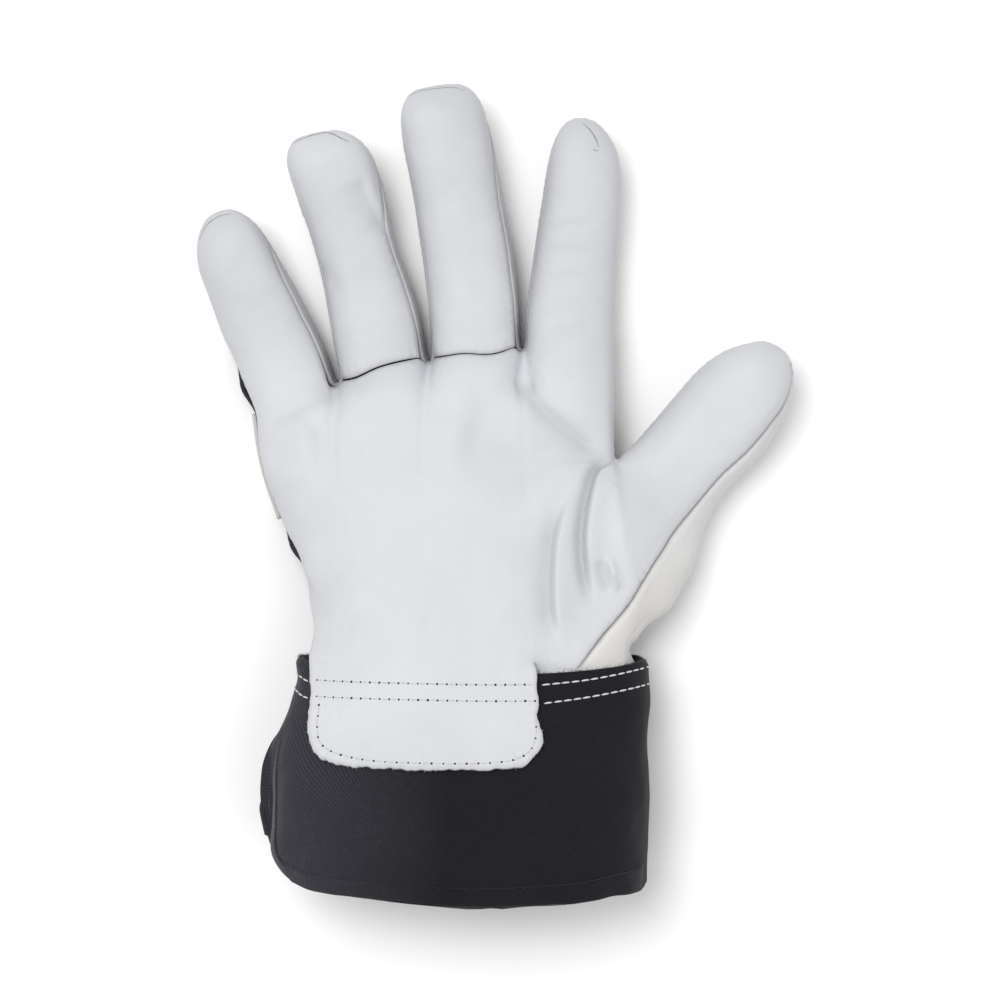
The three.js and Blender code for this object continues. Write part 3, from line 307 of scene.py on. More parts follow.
# Folds of the palm side.
# marks: the line in the frame's pixels. left, right: how wide it falls off, in mm. high: its height in mm.
# tint: how much painted shade it lays into the leather along its crease. line: how dark that painted shade
# is at least along its middle.
# start: the share of its length over which it begins.
FOLDS = [
    dict(name="thumb_fold", left=2.4, right=1.0, high=-2.6, painted_shade_and_seam=0.36, line=0.6, start=0.12,
         marks=[(616, 459), (597, 468), (589, 488), (583, 520), (582, 548), (586, 582), (592, 608)]),
    dict(name="thumb_mound", left=1.0, right=5.5, high=2.0, painted_shade_and_seam=0, start=0.3,
         marks=[(619, 462), (600, 471), (592, 490), (586, 521), (585, 549), (589, 582)]),
    dict(name="palm_ridge", left=1.2, right=5.5, high=1.9, painted_shade_and_seam=0,
         marks=[(575, 485), (562, 520), (556, 560), (556, 610), (563, 648)]),
    dict(name="ridge_foot", left=4.0, right=0.9, high=-1.5, painted_shade_and_seam=0.2, line=0.36,
         marks=[(564, 500), (553, 530), (549, 570), (550, 610), (556, 640)]),
    dict(name="mound_dent", left=2.2, right=1.2, high=-1.1, painted_shade_and_seam=0.25,
         marks=[(598, 556), (603, 575), (607, 592)]),
    dict(name="mound_fold", left=1.0, right=1.8, high=1.2, painted_shade_and_seam=0,
         marks=[(606, 555), (612, 575), (616, 592)]),
    dict(name="mound_nick", left=1.4, right=1.0, high=-0.7, painted_shade_and_seam=0.2,
         marks=[(612, 572), (616, 582), (619, 592)]),
    dict(name="index_crease", left=6.0, right=3.5, high=-1.8, painted_shade_and_seam=0.08,
         marks=[(514, 352), (530, 388), (548, 413), (578, 438), (608, 458)]),
    dict(name="index_crease_line", left=3.2, right=0.8, high=-1.0, painted_shade_and_seam=0.3, start=0.1,
         marks=[(522, 372), (540, 401), (560, 421), (585, 441), (608, 457)]),
    dict(name="little_crease", left=4.0, right=3.0, high=-1.0, painted_shade_and_seam=0.06,
         marks=[(345, 386), (315, 400), (285, 414), (264, 424)]),
    dict(name="ring_dent", left=6.0, right=1.8, high=-1.2, painted_shade_and_seam=0.12,
         marks=[(358, 176), (368, 198), (380, 222), (388, 240)]),
    dict(name="ring_bend", left=3.0, right=3.0, high=-0.5, painted_shade_and_seam=0,
         marks=[(318, 262), (330, 280), (336, 300)]),
    dict(name="palm_hollow", left=12.0, right=12.0, high=-2.2, painted_shade_and_seam=0.05,
         marks=[(455, 425), (490, 435), (530, 455), (560, 475)]),
] + [dict(name=f"index_wrinkle_{y}", left=1.7, right=1.3, high=-0.32, painted_shade_and_seam=0.05,
          marks=[(532 + (y - 200) // 9, y + 3), (560, y), (596, y + bend)])
     for y, bend in ((226, -3), (251, 2), (278, -2), (303, 3), (331, -3))]
# How wide, in mm, the line of a fold's painted shade is.
FOLD_LINE = 0.8
FOLD_REACH = 3
FOLD_END = 0.25
FACING_UP = 3
for fold in FOLDS:
    fold["path"] = curve_through([spot(*m) for m in fold["marks"]])


def fold_height(points, normals):
    """How high the folds lift each point, in mm, and how much painted shade they lay on it."""
    up = smooth(normals[:, 2] * FACING_UP)
    flat = points[:, :2] / MM
    total = np.zeros(len(points))
    painted_shade_and_seam = np.zeros(len(points))
    for fold in FOLDS:
        reach = FOLD_REACH * max(fold["left"], fold["right"])
        low = fold["path"].min(0) - reach
        high = fold["path"].max(0) + reach
        near = ((flat > low) & (flat < high)).all(1) & (up > 0)
        if not near.any():
            continue
        off, share = beside(flat[near], fold["path"])
        wide = np.where(off < 0, fold["left"], fold["right"])
        fade = smooth(share / fold.get("start", FOLD_END)) * smooth((1 - share) / FOLD_END)
        rise = np.exp(-(off / wide) ** 2) * fade * up[near]
        total[near] += fold["high"] * rise
        # Painted shade along the crease, darkest on its line.
        line = fold.get("line", 0) * np.exp(-(off / FOLD_LINE) ** 2) * fade * up[near]
        painted_shade_and_seam[near] = np.maximum(painted_shade_and_seam[near], np.maximum(fold["painted_shade_and_seam"] * rise, line))
    return total, painted_shade_and_seam


# Where edges and seams lie beside the imported ones.
# at, by: place and shift in the frame's pixels. reach: how far it reaches across and down the frame.
# only: the pieces that it moves, or none for all. above, below: the heights in mm where it ends.
# drop: how far it lowers them, in mm. tint: how much painted shade it lays on them.
FRONTS = ("palm", "ring_front", "middle_front")
THUMB = ("palm", "thumb_back")
CUFF = ("cuff", "cuff_binding")
FOURCHETTES = ("fourchette_little_ring", "fourchette_ring_middle", "fourchette_middle_index")
SHIFT_BLEND = 6
DROP_BLEND = 9
SHIFTS = [
    dict(name="middle_root", at=(492, 346), by=(0, 8), reach=(30, 14), only=FRONTS),
    dict(name="middle_root_left", at=(440, 351), by=(0, 3), reach=(20, 12), only=FRONTS),
    dict(name="ring_root", at=(352, 374), by=(0, 6), reach=(22, 14), only=FRONTS),
    dict(name="wrist_leather", at=(318, 600), by=(-5, 0), reach=(22, 34), only=("palm",)),
    dict(name="patch_side", at=(542, 738), by=(6, 0), reach=(16, 20), only=("palm",)),
    dict(name="patch_corner", at=(318, 765), by=(4, -5), reach=(16, 12), only=("palm",)),
    dict(name="hem_corner", at=(277, 882), by=(6, -6), reach=(28, 28), only=CUFF),
    dict(name="split_front", at=(266, 785), by=(9, 0), reach=(26, 62), only=CUFF, above=31),
    dict(name="ear_left", at=(300, 664), by=(-4, -3), reach=(12, 9), only=("cuff",)),
    dict(name="wrist_cloth", at=(312, 622), by=(6, 0), reach=(22, 44), only=("back",)),
    dict(name="root_cloth", at=(248, 390), by=(-6, 0), reach=(14, 20), only=("back",)),
    dict(name="side_cloth", at=(297, 546), by=(-4, 0), reach=(14, 15), only=("back",)),
    dict(name="side_leather", at=(300, 546), by=(3, 0), reach=(14, 17), only=("palm",)),
    dict(name="strap_end", at=(262, 460), by=(4, 0), reach=(24, 60), only=("knuckle_strap",)),
    dict(name="strap_corner", at=(274, 500), by=(7, 21), reach=(30, 24), only=("knuckle_strap",)),
    # The crotches: the fourchettes are lowered there and painted with shade.
    dict(name="crotch_little", at=(334, 370), by=(0, 0), reach=(12, 22), only=FOURCHETTES,
         drop=1.6, painted_shade_and_seam=0.85),
    dict(name="crotch_ring", at=(427, 342), by=(0, 0), reach=(12, 24), only=FOURCHETTES,
         drop=1.6, painted_shade_and_seam=0.85),
    dict(name="crotch_middle", at=(521, 338), by=(0, 0), reach=(12, 22), only=FOURCHETTES,
         drop=1.6, painted_shade_and_seam=0.85),
    dict(name="cuff_back", at=(266, 790), by=(-6, 0), reach=(26, 50), only=CUFF, below=31),
    dict(name="binding_top", at=(284, 712), by=(6, 2), reach=(14, 16), only=("cuff_binding",)),
    dict(name="binding_right", at=(651, 872), by=(-3, 0), reach=(12, 40), only=("cuff_binding",)),
    dict(name="ear_right", at=(650, 654), by=(-4, 3), reach=(7, 7), only=("cuff",)),
    dict(name="hem_left", at=(360, 900), by=(0, -6), reach=(65, 30), only=CUFF),
    dict(name="hem_middle", at=(595, 898), by=(0, 4.5), reach=(45, 28), only=CUFF),
    dict(name="hem_right", at=(648, 884), by=(1, 11), reach=(24, 28), only=CUFF),
    dict(name="thumb_tip", at=(765, 345), by=(0, 4), reach=(30, 25), only=()),
    dict(name="thumb_side", at=(712, 520), by=(-8, -3), reach=(45, 42), only=("thumb_back",)),
    dict(name="thumb_heel", at=(668, 612), by=(4, 3), reach=(16, 18), only=("thumb_back",)),
    dict(name="thumb_wrist", at=(642, 650), by=(-10, 0), reach=(12, 15), only=("thumb_back", "back")),
]


def shift_edges(points, name):
    """Moves a piece's points by the shifts that are meant for it, and tells how much painted shade they lay
    on each.
    """
    painted_shade_and_seam = np.zeros(len(points))
    for row in SHIFTS:
        if row["only"] and name not in row["only"]:
            continue
        at = np.array(spot(*row["at"]))
        by = (np.array(spot(*row["by"])) - np.array(spot(0, 0))) * MM
        reach = np.array(row["reach"]) * FRAME_WIDTH / FRAME_PIXELS / MM
        off = (points[:, :2] / MM - at) / reach
        height = points[:, 2] / MM
        share = np.exp(-(off ** 2).sum(1))
        if "above" in row:
            share *= smooth((height - row["above"]) / SHIFT_BLEND)
        if "below" in row:
            share *= smooth((row["below"] - height) / SHIFT_BLEND)
        points[:, :2] += share[:, None] * by
        points[:, 2] -= share * row.get("drop", 0) * MM * smooth(height / DROP_BLEND)
        painted_shade_and_seam = np.maximum(painted_shade_and_seam, share * row.get("painted_shade_and_seam", 0))
    return painted_shade_and_seam


# Pieces
# wall: in mm. level: subdivisions. lip: how deep the edge rolls into its seam, in mm.
# wave: the height of its unevenness in mm. folds: whether it has them.
# inward: whether its outer face is the one that faces inward.
# sink: how far it lies under its packed face, in mm.
PIECES = {
    "palm": dict(wall=1.3, level=3, lip=0.5, wave=0.16, folds=True),
    "ring_front": dict(wall=1.3, level=4, lip=0.5, wave=0.14, folds=True),
    "middle_front": dict(wall=1.3, level=4, lip=0.5, wave=0.14, folds=True),
    "thumb_back": dict(wall=1.3, level=3, lip=0.7, wave=0.2),
    "index_back": dict(wall=1.3, level=3, lip=0.6, wave=0.15),
    "little_fingertip": dict(wall=1.3, level=3, lip=0.6, wave=0.15),
    "ring_fingertip": dict(wall=1.3, level=3, lip=0.6, wave=0.15),
    "middle_fingertip": dict(wall=1.3, level=3, lip=0.6, wave=0.15),
    "fourchette_little_ring": dict(wall=1.3, level=3, lip=0.2, wave=0.1, inward=True),
    "fourchette_ring_middle": dict(wall=1.3, level=3, lip=0.2, wave=0.1, inward=True),
    "fourchette_middle_index": dict(wall=1.3, level=3, lip=0.2, wave=0.1, inward=True),
    "back": dict(wall=1.2, level=3, lip=0.3, wave=0.2),
    "knuckle_strap": dict(wall=1.3, level=3, lip=0.3, wave=0.1),
    "cuff": dict(wall=1.8, level=4, lip=0, wave=0.25),
    "cuff_binding": dict(wall=1.0, level=3, lip=0, wave=0.3, sink=1.0),
}
CUFF_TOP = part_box("cuff")[1].y / MM
LIP_WIDTH = 1.2
LIP_FROM = 1
LIP_BLEND = 3
PUCKER = 0.1
PUCKER_STEP = 3.4
PUCKER_OFF = 1.4
PUCKER_WIDTH = 1.3
THUMB_PUCKER = 1.5
WAVE_LONG = 22
WAVE_SHORT = 9
WAVE_COUNT = 14
SHORT_SHARE = 0.35
RIM_BULGE = 0.3
RIM_ANGLES = (50, 90, 130, 180)
PATCH_WAVE = 0.38
PATCH_WAVE_REACH = 5
PATCH_WAVE_LONG = 9
PATCH_WAVE_SHORT = 3.2
PATCH_FROM = 4
PATCH_BLEND = 6
FLOOR_BLEND = 2.5
FACING_DOWN = -0.5

# The thumb's seam: how much and how wide in mm it darkens the leather, its line in the frame's pixels,
# how far from it and above which height, in mm, leather is moved, the shares of its length over which that
# begins and ends, and how far each piece stays off its line.
SEAM_TINT = 0.9
SEAM_WIDTH = 0.4
SEAM_MARKS = [(571, 672), (581, 659), (601, 633), (614, 619), (628, 603), (642, 580), (652, 564),
              (663, 548), (673, 533), (697, 504), (722, 476), (746, 454), (767, 429), (784, 404),
              (793, 378)]
SEAM_REACH = 7.0
SEAM_FLOOR = 8
SEAM_FAR = 10
SEAM_BLEND = 4
SEAM_BEGIN = 0.04
SEAM_END = 0.12
SEAM_SIDE = {"palm": (-0.1, 0.1), "thumb_back": (0.1, -0.1)}
THUMB_SEAM = curve_through([spot(*m) for m in SEAM_MARKS], 1500)


def onto_seam(sheet, name):
    """Moves the thumb's seam, and the leather beside it, onto its line in the frame."""
    tree = KDTree(len(THUMB_SEAM))
    for k, (x, y) in enumerate(THUMB_SEAM):
        tree.insert((x, y, 0), k)
    tree.balance()
    edge = sheet.points[sheet.edge_point] / MM
    found = [tree.find((x, y, 0)) for x, y, _ in edge]
    at = np.array([f[1] for f in found])
    off = np.array([f[2] for f in found])
    by = THUMB_SEAM[at] + SEAM_SIDE[name] - edge[:, :2]
    run = at / (len(THUMB_SEAM) - 1)
    share = smooth((SEAM_FAR - off) / SEAM_BLEND) * smooth(run / SEAM_BEGIN) * smooth((1 - run) / SEAM_END)
    share *= np.exp(-(sheet.edge_off / SEAM_REACH) ** 2) * (edge[:, 2] > SEAM_FLOOR)
    sheet.points[:, :2] += share[:, None] * by * MM


def beside_thumb(sheet, name):
    """1 where the nearest open edge is the thumb's seam on the palm side, and 0 elsewhere."""
    if name not in THUMB:
        return np.zeros(len(sheet.points))
    x, y = sheet.edge_at[:, 0], sheet.edge_at[:, 1]
    left, low = spot(565, 660)
    root, crotch = spot(640, 460)
    top = spot(0, 350)[1]
    lower = (x > left) & (y > low) & (y < crotch)
    upper = (x > root) & (y < top) & (y >= crotch)
    return (lower | upper).astype(float)


def cut_patch(sheet):
    """Makes the cut edge of the pulse patch uneven."""
    cut = smooth((CUFF_TOP - PATCH_FROM - sheet.points[:, 1] / MM) / PATCH_BLEND)
    cut *= np.exp(-(sheet.edge_off / PATCH_WAVE_REACH) ** 2)
    for axis, seed in ((0, 21), (1, 23)):
        wave = 0.6 * waves(sheet.edge_at * MM, PATCH_WAVE_LONG, 8, seed)
        wave += 0.6 * waves(sheet.edge_at * MM, PATCH_WAVE_SHORT, 8, seed + 1)
        sheet.points[:, axis] += PATCH_WAVE * MM * cut * wave


def shape(sheet, name, plan):
    """Moves a sheet's edges to their places, and gives it unevenness, folds, puckers and rolled edges, the
    painted shade of its folds and crotches, and the dark line of the thumb's seam.
    """
    sheet.painted_shade_and_seam = shift_edges(sheet.points, name)
    if name in THUMB:
        onto_seam(sheet, name)
    if name == "palm":
        cut_patch(sheet)
    p = sheet.points
    floor_off = p[:, 2] / MM
    rest = smooth(floor_off / FLOOR_BLEND)
    lift = plan["wave"] * waves(p, WAVE_LONG, WAVE_COUNT, 3)
    lift += SHORT_SHARE * plan["wave"] * waves(p, WAVE_SHORT, WAVE_COUNT, 5)
    lift -= plan.get("sink", 0)
    if plan.get("folds"):
        # Folds lift the leather and paint shade into their creases.
        folded, painted_shade_and_seam = fold_height(p, sheet.normals)
        sheet.painted_shade_and_seam = np.maximum(sheet.painted_shade_and_seam, painted_shade_and_seam)
        lift = lift + folded
    in_hand = smooth((sheet.edge_at[:, 1] - CUFF_TOP - LIP_FROM) / LIP_BLEND)
    off = sheet.edge_off
    roll = plan["lip"] * np.exp(-(off / LIP_WIDTH) ** 2)
    thumb_seam = beside_thumb(sheet, name)
    sheet.painted_shade_and_seam = np.maximum(sheet.painted_shade_and_seam, SEAM_TINT * thumb_seam * np.exp(-(off / SEAM_WIDTH) ** 2))
    pucker = PUCKER * (1 + THUMB_PUCKER * thumb_seam) * np.cos(2 * math.pi * sheet.edge_run / PUCKER_STEP)
    pucker *= np.exp(-((off - PUCKER_OFF) / PUCKER_WIDTH) ** 2)
    pucker *= 0.6 + 0.4 * waves(sheet.edge_at * MM, 15, 6, 9)
    if plan["lip"]:
        lift = lift - in_hand * (roll + pucker)
    lift = np.where(lift < 0, lift, lift * rest)
    lift = lift * MM * np.where(sheet.normals[:, 2] < FACING_DOWN, rest, 1)
    sheet.points = p + sheet.normals * lift[:, None]
    sheet.points[:, 2] = np.maximum(sheet.points[:, 2], 0)
    sheet.refresh()


def shell(name, plan):
    """A piece of leather or cloth: its outer face, a rounded rim, and an inner face."""
    cage = outer_face(name, plan["wall"], plan.get("inward", False))
    if name == "palm":
        calmed(cage, CALM_ROUNDS)
    outer = Sheet(cage, plan["level"])
    shape(outer, name, plan)
    inside = Sheet(cage, plan["level"] - 1)
    shape(inside, name, plan)
    bpy.data.meshes.remove(cage)
    wall = plan["wall"] * MM
    points = [outer.points]
    shades_and_seams = [outer.painted_shade_and_seam]
    edges = [outer.edge_off]
    faces = [outer.faces]
    count = len(outer.points)
    for loop in outer.loops:
        loop = np.array(loop)
        p = outer.points[loop]
        n = outer.normals[loop]
        along = np.roll(p, -1, axis=0) - np.roll(p, 1, axis=0)
        out = np.cross(along, n)
        out /= np.maximum(np.linalg.norm(out, axis=1, keepdims=True), 1e-12)
        rings = [loop]
        for angle in np.radians(RIM_ANGLES):
            ring = p - n * wall / 2 * (1 - math.cos(angle)) + out * RIM_BULGE * MM * math.sin(angle)
            points.append(ring)
            shades_and_seams.append(outer.painted_shade_and_seam[loop])
            edges.append(np.zeros(len(loop)))
            rings.append(np.arange(count, count + len(loop)))
            count += len(loop)
        for a, b in zip(rings, rings[1:]):
            faces.append(np.stack([np.roll(a, -1), a, b, np.roll(b, -1)], axis=1))
    points.append(inside.points - inside.normals * wall)
    shades_and_seams.append(inside.painted_shade_and_seam)
    edges.append(np.zeros(len(inside.points)))
    faces.append(inside.faces[:, ::-1] + count)
    mesh = mesh_from(name, np.vstack(points), np.vstack(faces))
    for layer_name, values in (("edge_off", edges), ("painted_shade_and_seam", shades_and_seams)):
        layer = mesh.attributes.new(layer_name, "FLOAT", "POINT")
        layer.data.foreach_set("value", np.concatenate(values))
    return mesh, outer


def mesh_from(name, points, faces):
    mesh = bpy.data.meshes.new(name)
    mesh.vertices.add(len(points))
    mesh.vertices.foreach_set("co", np.asarray(points, float).ravel())
    size = faces.shape[1]
    mesh.loops.add(faces.size)
    mesh.loops.foreach_set("vertex_index", faces.ravel())
    mesh.polygons.add(len(faces))
    mesh.polygons.foreach_set("loop_start", np.arange(0, faces.size, size))
    mesh.polygons.foreach_set("use_smooth", np.ones(len(faces), bool))
    mesh.update(calc_edges=True)
    mesh.validate()
    return mesh


# Materials
class Look:
    """A node material in the making."""

    def __init__(self, name):
        self.material = bpy.data.materials.new(name)
        self.material.use_nodes = True
        self.tree = self.material.node_tree
        self.tree.nodes.clear()
        self.output = self.tree.nodes.new("ShaderNodeOutputMaterial")
        self.shader = self.tree.nodes.new("ShaderNodeBsdfPrincipled")
        self.tree.links.new(self.shader.outputs[0], self.output.inputs[0])
        place = self.tree.nodes.new("ShaderNodeTexCoord")
        self.place = place.outputs["Object"]

    def node(self, kind, props=None, **inputs):
        made = self.tree.nodes.new("ShaderNode" + kind)
        for key, value in (props or {}).items():
            setattr(made, key, value)
        for key, value in inputs.items():
            socket = made.inputs[int(key[1:])] if key[0] == "_" else made.inputs[key.replace("_", " ")]
            self.put(socket, value)
        return made

    def put(self, socket, value):
        if isinstance(value, bpy.types.NodeSocket):
            self.tree.links.new(value, socket)
        else:
            socket.default_value = value

    def math(self, operation, *values):
        made = self.node("Math", {"operation": operation})
        for socket, value in zip(made.inputs, values):
            self.put(socket, value)
        return made.outputs[0]

    def remap(self, value, low, high, to_low=0.0, to_high=1.0):
        made = self.node("MapRange", {"clamp": True}, Value=value)
        made.inputs["From Min"].default_value = low
        made.inputs["From Max"].default_value = high
        made.inputs["To Min"].default_value = to_low
        made.inputs["To Max"].default_value = to_high
        return made.outputs[0]

    def noise(self, scale, detail, roughness):
        return self.node("TexNoise", Vector=self.place, Scale=scale, Detail=detail,
                         Roughness=roughness).outputs["Fac"]

    def blend(self, share, a, b):
        made = self.node("Mix", {"data_type": "RGBA"}, _0=share)
        self.put(made.inputs[6], a)
        self.put(made.inputs[7], b)
        return made.outputs[2]

    def bump(self, height, distance, strength=1.0, normal=None):
        made = self.node("Bump", Height=height, Distance=distance, Strength=strength)
        if normal is not None:
            self.put(made.inputs["Normal"], normal)
        return made.outputs[0]

    def finish(self, **inputs):
        for key, value in inputs.items():
            self.put(self.shader.inputs[key.replace("_", " ")], value)
        return self.material


# The thumb's back turns cream between these places along the glove, in mm.
CREAM = (0.655, 0.64, 0.615, 1)
CREAM_FROM = -38
CREAM_TO = -12
# Painted shade on the palm leather: it darkens towards the fingers between these places along the glove,
# and left of the thumb between these places across it, in mm.
FINGERS_FROM = 29
FINGERS_TO = 49
THUMB_FROM = 42
THUMB_TO = 50
# Leather darkens beside its edges: how wide, in mm, and how much.
EDGE_WIDTH = 1.3
EDGE_SHARE = 0.3


# seam: the grey of seams, which the painted shade also blends toward.
def leather(name, light, dark, seam, painted_shade_to_fingers=0.0, cream=0.0):
    look = Look(name)
    cloud = look.noise(22, 4, 0.6)
    fine = look.noise(160, 3, 0.6)
    base = look.blend(look.remap(cloud, 0.32, 0.68), dark, light)
    base = look.blend(look.math("MULTIPLY", look.remap(fine, 0.45, 0.75), 0.2), base, dark)
    # Painted shade towards the fingers and left of the thumb.
    if painted_shade_to_fingers:
        place = look.node("SeparateXYZ", Vector=look.place)
        ahead = look.remap(place.outputs[1], FINGERS_FROM * MM, FINGERS_TO * MM)
        thumb = look.remap(place.outputs[0], THUMB_FROM * MM, THUMB_TO * MM, 1.0, 0.0)
        share = look.math("MULTIPLY", look.math("MULTIPLY", ahead, thumb), painted_shade_to_fingers)
        base = look.blend(share, base, seam)
    if cream:
        along = look.node("SeparateXYZ", Vector=look.place).outputs[1]
        share = look.math("MULTIPLY", look.remap(along, CREAM_FROM * MM, CREAM_TO * MM, 1.0, 0.0), cream)
        base = look.blend(share, base, CREAM)
    edge = look.node("Attribute", {"attribute_name": "edge_off"}).outputs["Fac"]
    near = look.remap(edge, 0.0, EDGE_WIDTH, 1.0, 0.0)
    base = look.blend(look.math("MULTIPLY", near, EDGE_SHARE), base, seam)
    # Painted shade of folds and crotches, and the thumb's dark seam line, blended toward the seam grey.
    painted_shade_and_seam = look.node("Attribute", {"attribute_name": "painted_shade_and_seam"}).outputs["Fac"]
    base = look.blend(painted_shade_and_seam, base, seam)
    pebble = look.node("TexVoronoi", {"feature": "SMOOTH_F1"}, Vector=look.place, Scale=1250.0,
                       Smoothness=0.6).outputs["Distance"]
    warp = look.node("TexNoise", Vector=look.place, Scale=90.0, Detail=2.0).outputs["Color"]
    moved = look.node("MixRGB", {"blend_type": "LINEAR_LIGHT"}, Fac=0.012)
    look.put(moved.inputs[1], look.place)
    look.put(moved.inputs[2], warp)
    crease = look.node("TexVoronoi", {"feature": "DISTANCE_TO_EDGE"}, Vector=moved.outputs[0],
                       Scale=210.0).outputs["Distance"]
    line = look.math("MULTIPLY", look.remap(crease, 0.0, 0.09, 1.0, 0.0), look.remap(cloud, 0.45, 0.75))
    soft = look.noise(230, 2, 0.5)
    normal = look.bump(soft, 0.00035, 0.35)
    normal = look.bump(line, -0.00012, 0.5, normal)
    normal = look.bump(pebble, 0.00012, 0.4, normal)
    rough = look.remap(cloud, 0.3, 0.7, 0.5, 0.62)
    return look.finish(Base_Color=base, Roughness=rough, Normal=normal, Specular_IOR_Level=0.35,
                       Sheen_Weight=0.05)


# The cuff's cloth turns lighter and bluer between these places, from its left side to its middle, in mm.
LEFT_SIDE_FROM = -62
LEFT_SIDE_TO = -15
LEFT_SIDE_LIGHT = (0.066, 0.068, 0.082, 1)
LEFT_SIDE_DARK = (0.018, 0.018, 0.024, 1)


def drill(name, light, dark, pitch, fuzz=0.1):
    look = Look(name)
    uv = look.node("UVMap", {"uv_map": "weave"}).outputs[0]
    parts = look.node("SeparateXYZ", Vector=uv)
    u, v = parts.outputs[0], parts.outputs[1]
    diagonal = look.math("MULTIPLY", look.math("SUBTRACT", u, v), 2 * math.pi / pitch)
    twill = look.math("SINE", diagonal)
    threads = look.math("SINE", look.math("MULTIPLY", look.math("ADD", u, v), 2 * math.pi / (pitch * 0.7)))
    weave = look.math("ADD", twill, look.math("MULTIPLY", threads, 0.45))
    lint = look.noise(900, 3, 0.7)
    worn = look.noise(45, 4, 0.65)
    level = look.math("ADD", look.remap(weave, -1.4, 1.4, 0.0, 0.55), look.remap(lint, 0.5, 0.8, 0.0, 0.4))
    level = look.math("MULTIPLY", level, look.remap(worn, 0.3, 0.7, 0.6, 1.0))
    place = look.node("SeparateXYZ", Vector=look.place).outputs[0]
    # Lighter and bluer towards the left side.
    toward_left = look.remap(place, LEFT_SIDE_FROM * MM, LEFT_SIDE_TO * MM, 1.0, 0.0)
    base = look.blend(level, look.blend(toward_left, dark, LEFT_SIDE_DARK), look.blend(toward_left, light, LEFT_SIDE_LIGHT))
    normal = look.bump(weave, 0.0001, 0.35)
    normal = look.bump(lint, 0.00015, 0.35, normal)
    return look.finish(Base_Color=base, Roughness=0.9, Normal=normal, Specular_IOR_Level=0.12,
                       Sheen_Weight=fuzz, Sheen_Roughness=0.5)


def thread(name, color, rough=0.6):
    look = Look(name)
    ply = look.noise(1800, 2, 0.5)
    base = look.blend(look.remap(ply, 0.3, 0.7), tuple(0.8 * c for c in color[:3]) + (1,), color)
    normal = look.bump(ply, 0.0001, 0.5)
    return look.finish(Base_Color=base, Roughness=rough, Normal=normal)


GREY_SEAM_AND_SHADE = (0.281, 0.281, 0.296, 1)
LOOKS = {
    "palm_leather": leather("palm_leather", (0.600, 0.607, 0.634, 1), (0.548, 0.555, 0.582, 1), GREY_SEAM_AND_SHADE,
                            painted_shade_to_fingers=0.14),
    "finger_leather": leather("finger_leather", (0.566, 0.573, 0.600, 1), (0.508, 0.515, 0.542, 1),
                              GREY_SEAM_AND_SHADE),
    "thumb_leather": leather("thumb_leather", (0.65, 0.65, 0.655, 1), (0.595, 0.592, 0.59, 1),
                             (0.34, 0.33, 0.32, 1), cream=0.7),
    "back_leather": leather("back_leather", (0.593, 0.585, 0.569, 1), (0.53, 0.523, 0.507, 1),
                            (0.328, 0.32, 0.304, 1)),
    # The fourchettes' leather is coloured a little darker than the fingers': painted shade of the narrow
    # gaps between the fingers.
    "fourchette_leather": leather("fourchette_leather", (0.546, 0.55, 0.569, 1), (0.468, 0.472, 0.491, 1),
                                  GREY_SEAM_AND_SHADE),
    "back_drill": drill("back_drill", (0.021, 0.021, 0.026, 1), (0.007, 0.007, 0.009, 1), 0.0012),
    "cuff_drill": drill("cuff_drill", (0.021, 0.021, 0.027, 1), (0.007, 0.007, 0.009, 1), 0.0012),
    "binding_tape": drill("binding_tape", (0.024, 0.023, 0.029, 1), (0.004, 0.004, 0.006, 1), 0.0010, 0.15),
}
WHITE_THREAD = thread("white_thread", (0.68, 0.68, 0.69, 1))
PALE_THREAD = thread("pale_thread", (0.60, 0.605, 0.62, 1))
# Painted shade of the needle holes.
HOLE_SHADE = thread("needle_hole_shade", (0.03, 0.03, 0.035, 1), 0.9)
LINT = thread("lint", (0.07, 0.07, 0.08, 1), 0.95)
SEAM_LINE = thread("seam_line", (0.22, 0.22, 0.23, 1), 0.9)
SLOTS = {part["node"]: part["material_slot"] for part in frame["record"]["subparts"]}


WEAVE_ROUND = 0.31


def weave_map(mesh, name):
    """Lays the weave out in metres: round the cuff for its pieces, and flat for the others."""
    p = coords(mesh)
    if name in ("cuff", "cuff_binding"):
        low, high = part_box("cuff")
        middle = (low + high) / 2
        angle = np.arctan2(p[:, 2] - middle.z, p[:, 0] - middle.x)
        angle = np.mod(angle - math.pi, 2 * math.pi)
        round_size = WEAVE_ROUND
        u = angle / (2 * math.pi) * round_size
        v = p[:, 1]
    else:
        u, v, round_size = p[:, 0], p[:, 1], 0
    loops = np.zeros(len(mesh.loops), int)
    mesh.loops.foreach_get("vertex_index", loops)
    face_u = u[loops].reshape(-1, 4).copy()
    if round_size:
        wide = face_u.max(1) - face_u.min(1) > round_size / 2
        face_u[wide] = np.where(face_u[wide] < round_size / 2, face_u[wide] + round_size, face_u[wide])
    layer = mesh.uv_layers.new(name="weave")
    layer.data.foreach_set("uv", np.stack([face_u.ravel(), v[loops]], axis=1).ravel())


def own(obj, *nodes, slot=None, material=None):
    """Hangs a piece on the glove, in the place of its nodes."""
    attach(obj, "root")
    if nodes:
        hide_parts(*nodes)
    obj.data.materials.clear()
    obj.data.materials.append(material or LOOKS[slot])


outers = {}
for name, plan in PIECES.items():
    mesh, outers[name] = shell(name, plan)
    slot = SLOTS[name]
    if slot in ("back_drill", "cuff_drill", "binding_tape"):
        weave_map(mesh, name)
    own(link("glove_" + name, mesh), name, slot=slot)


# Stitches
def tree_of(names):
    points = []
    faces = []
    count = 0
    for name in names:
        points.append(outers[name].points)
        faces.append(outers[name].faces + count)
        count += len(outers[name].points)
    return BVHTree.FromPolygons(np.vstack(points).tolist(), np.vstack(faces).tolist())


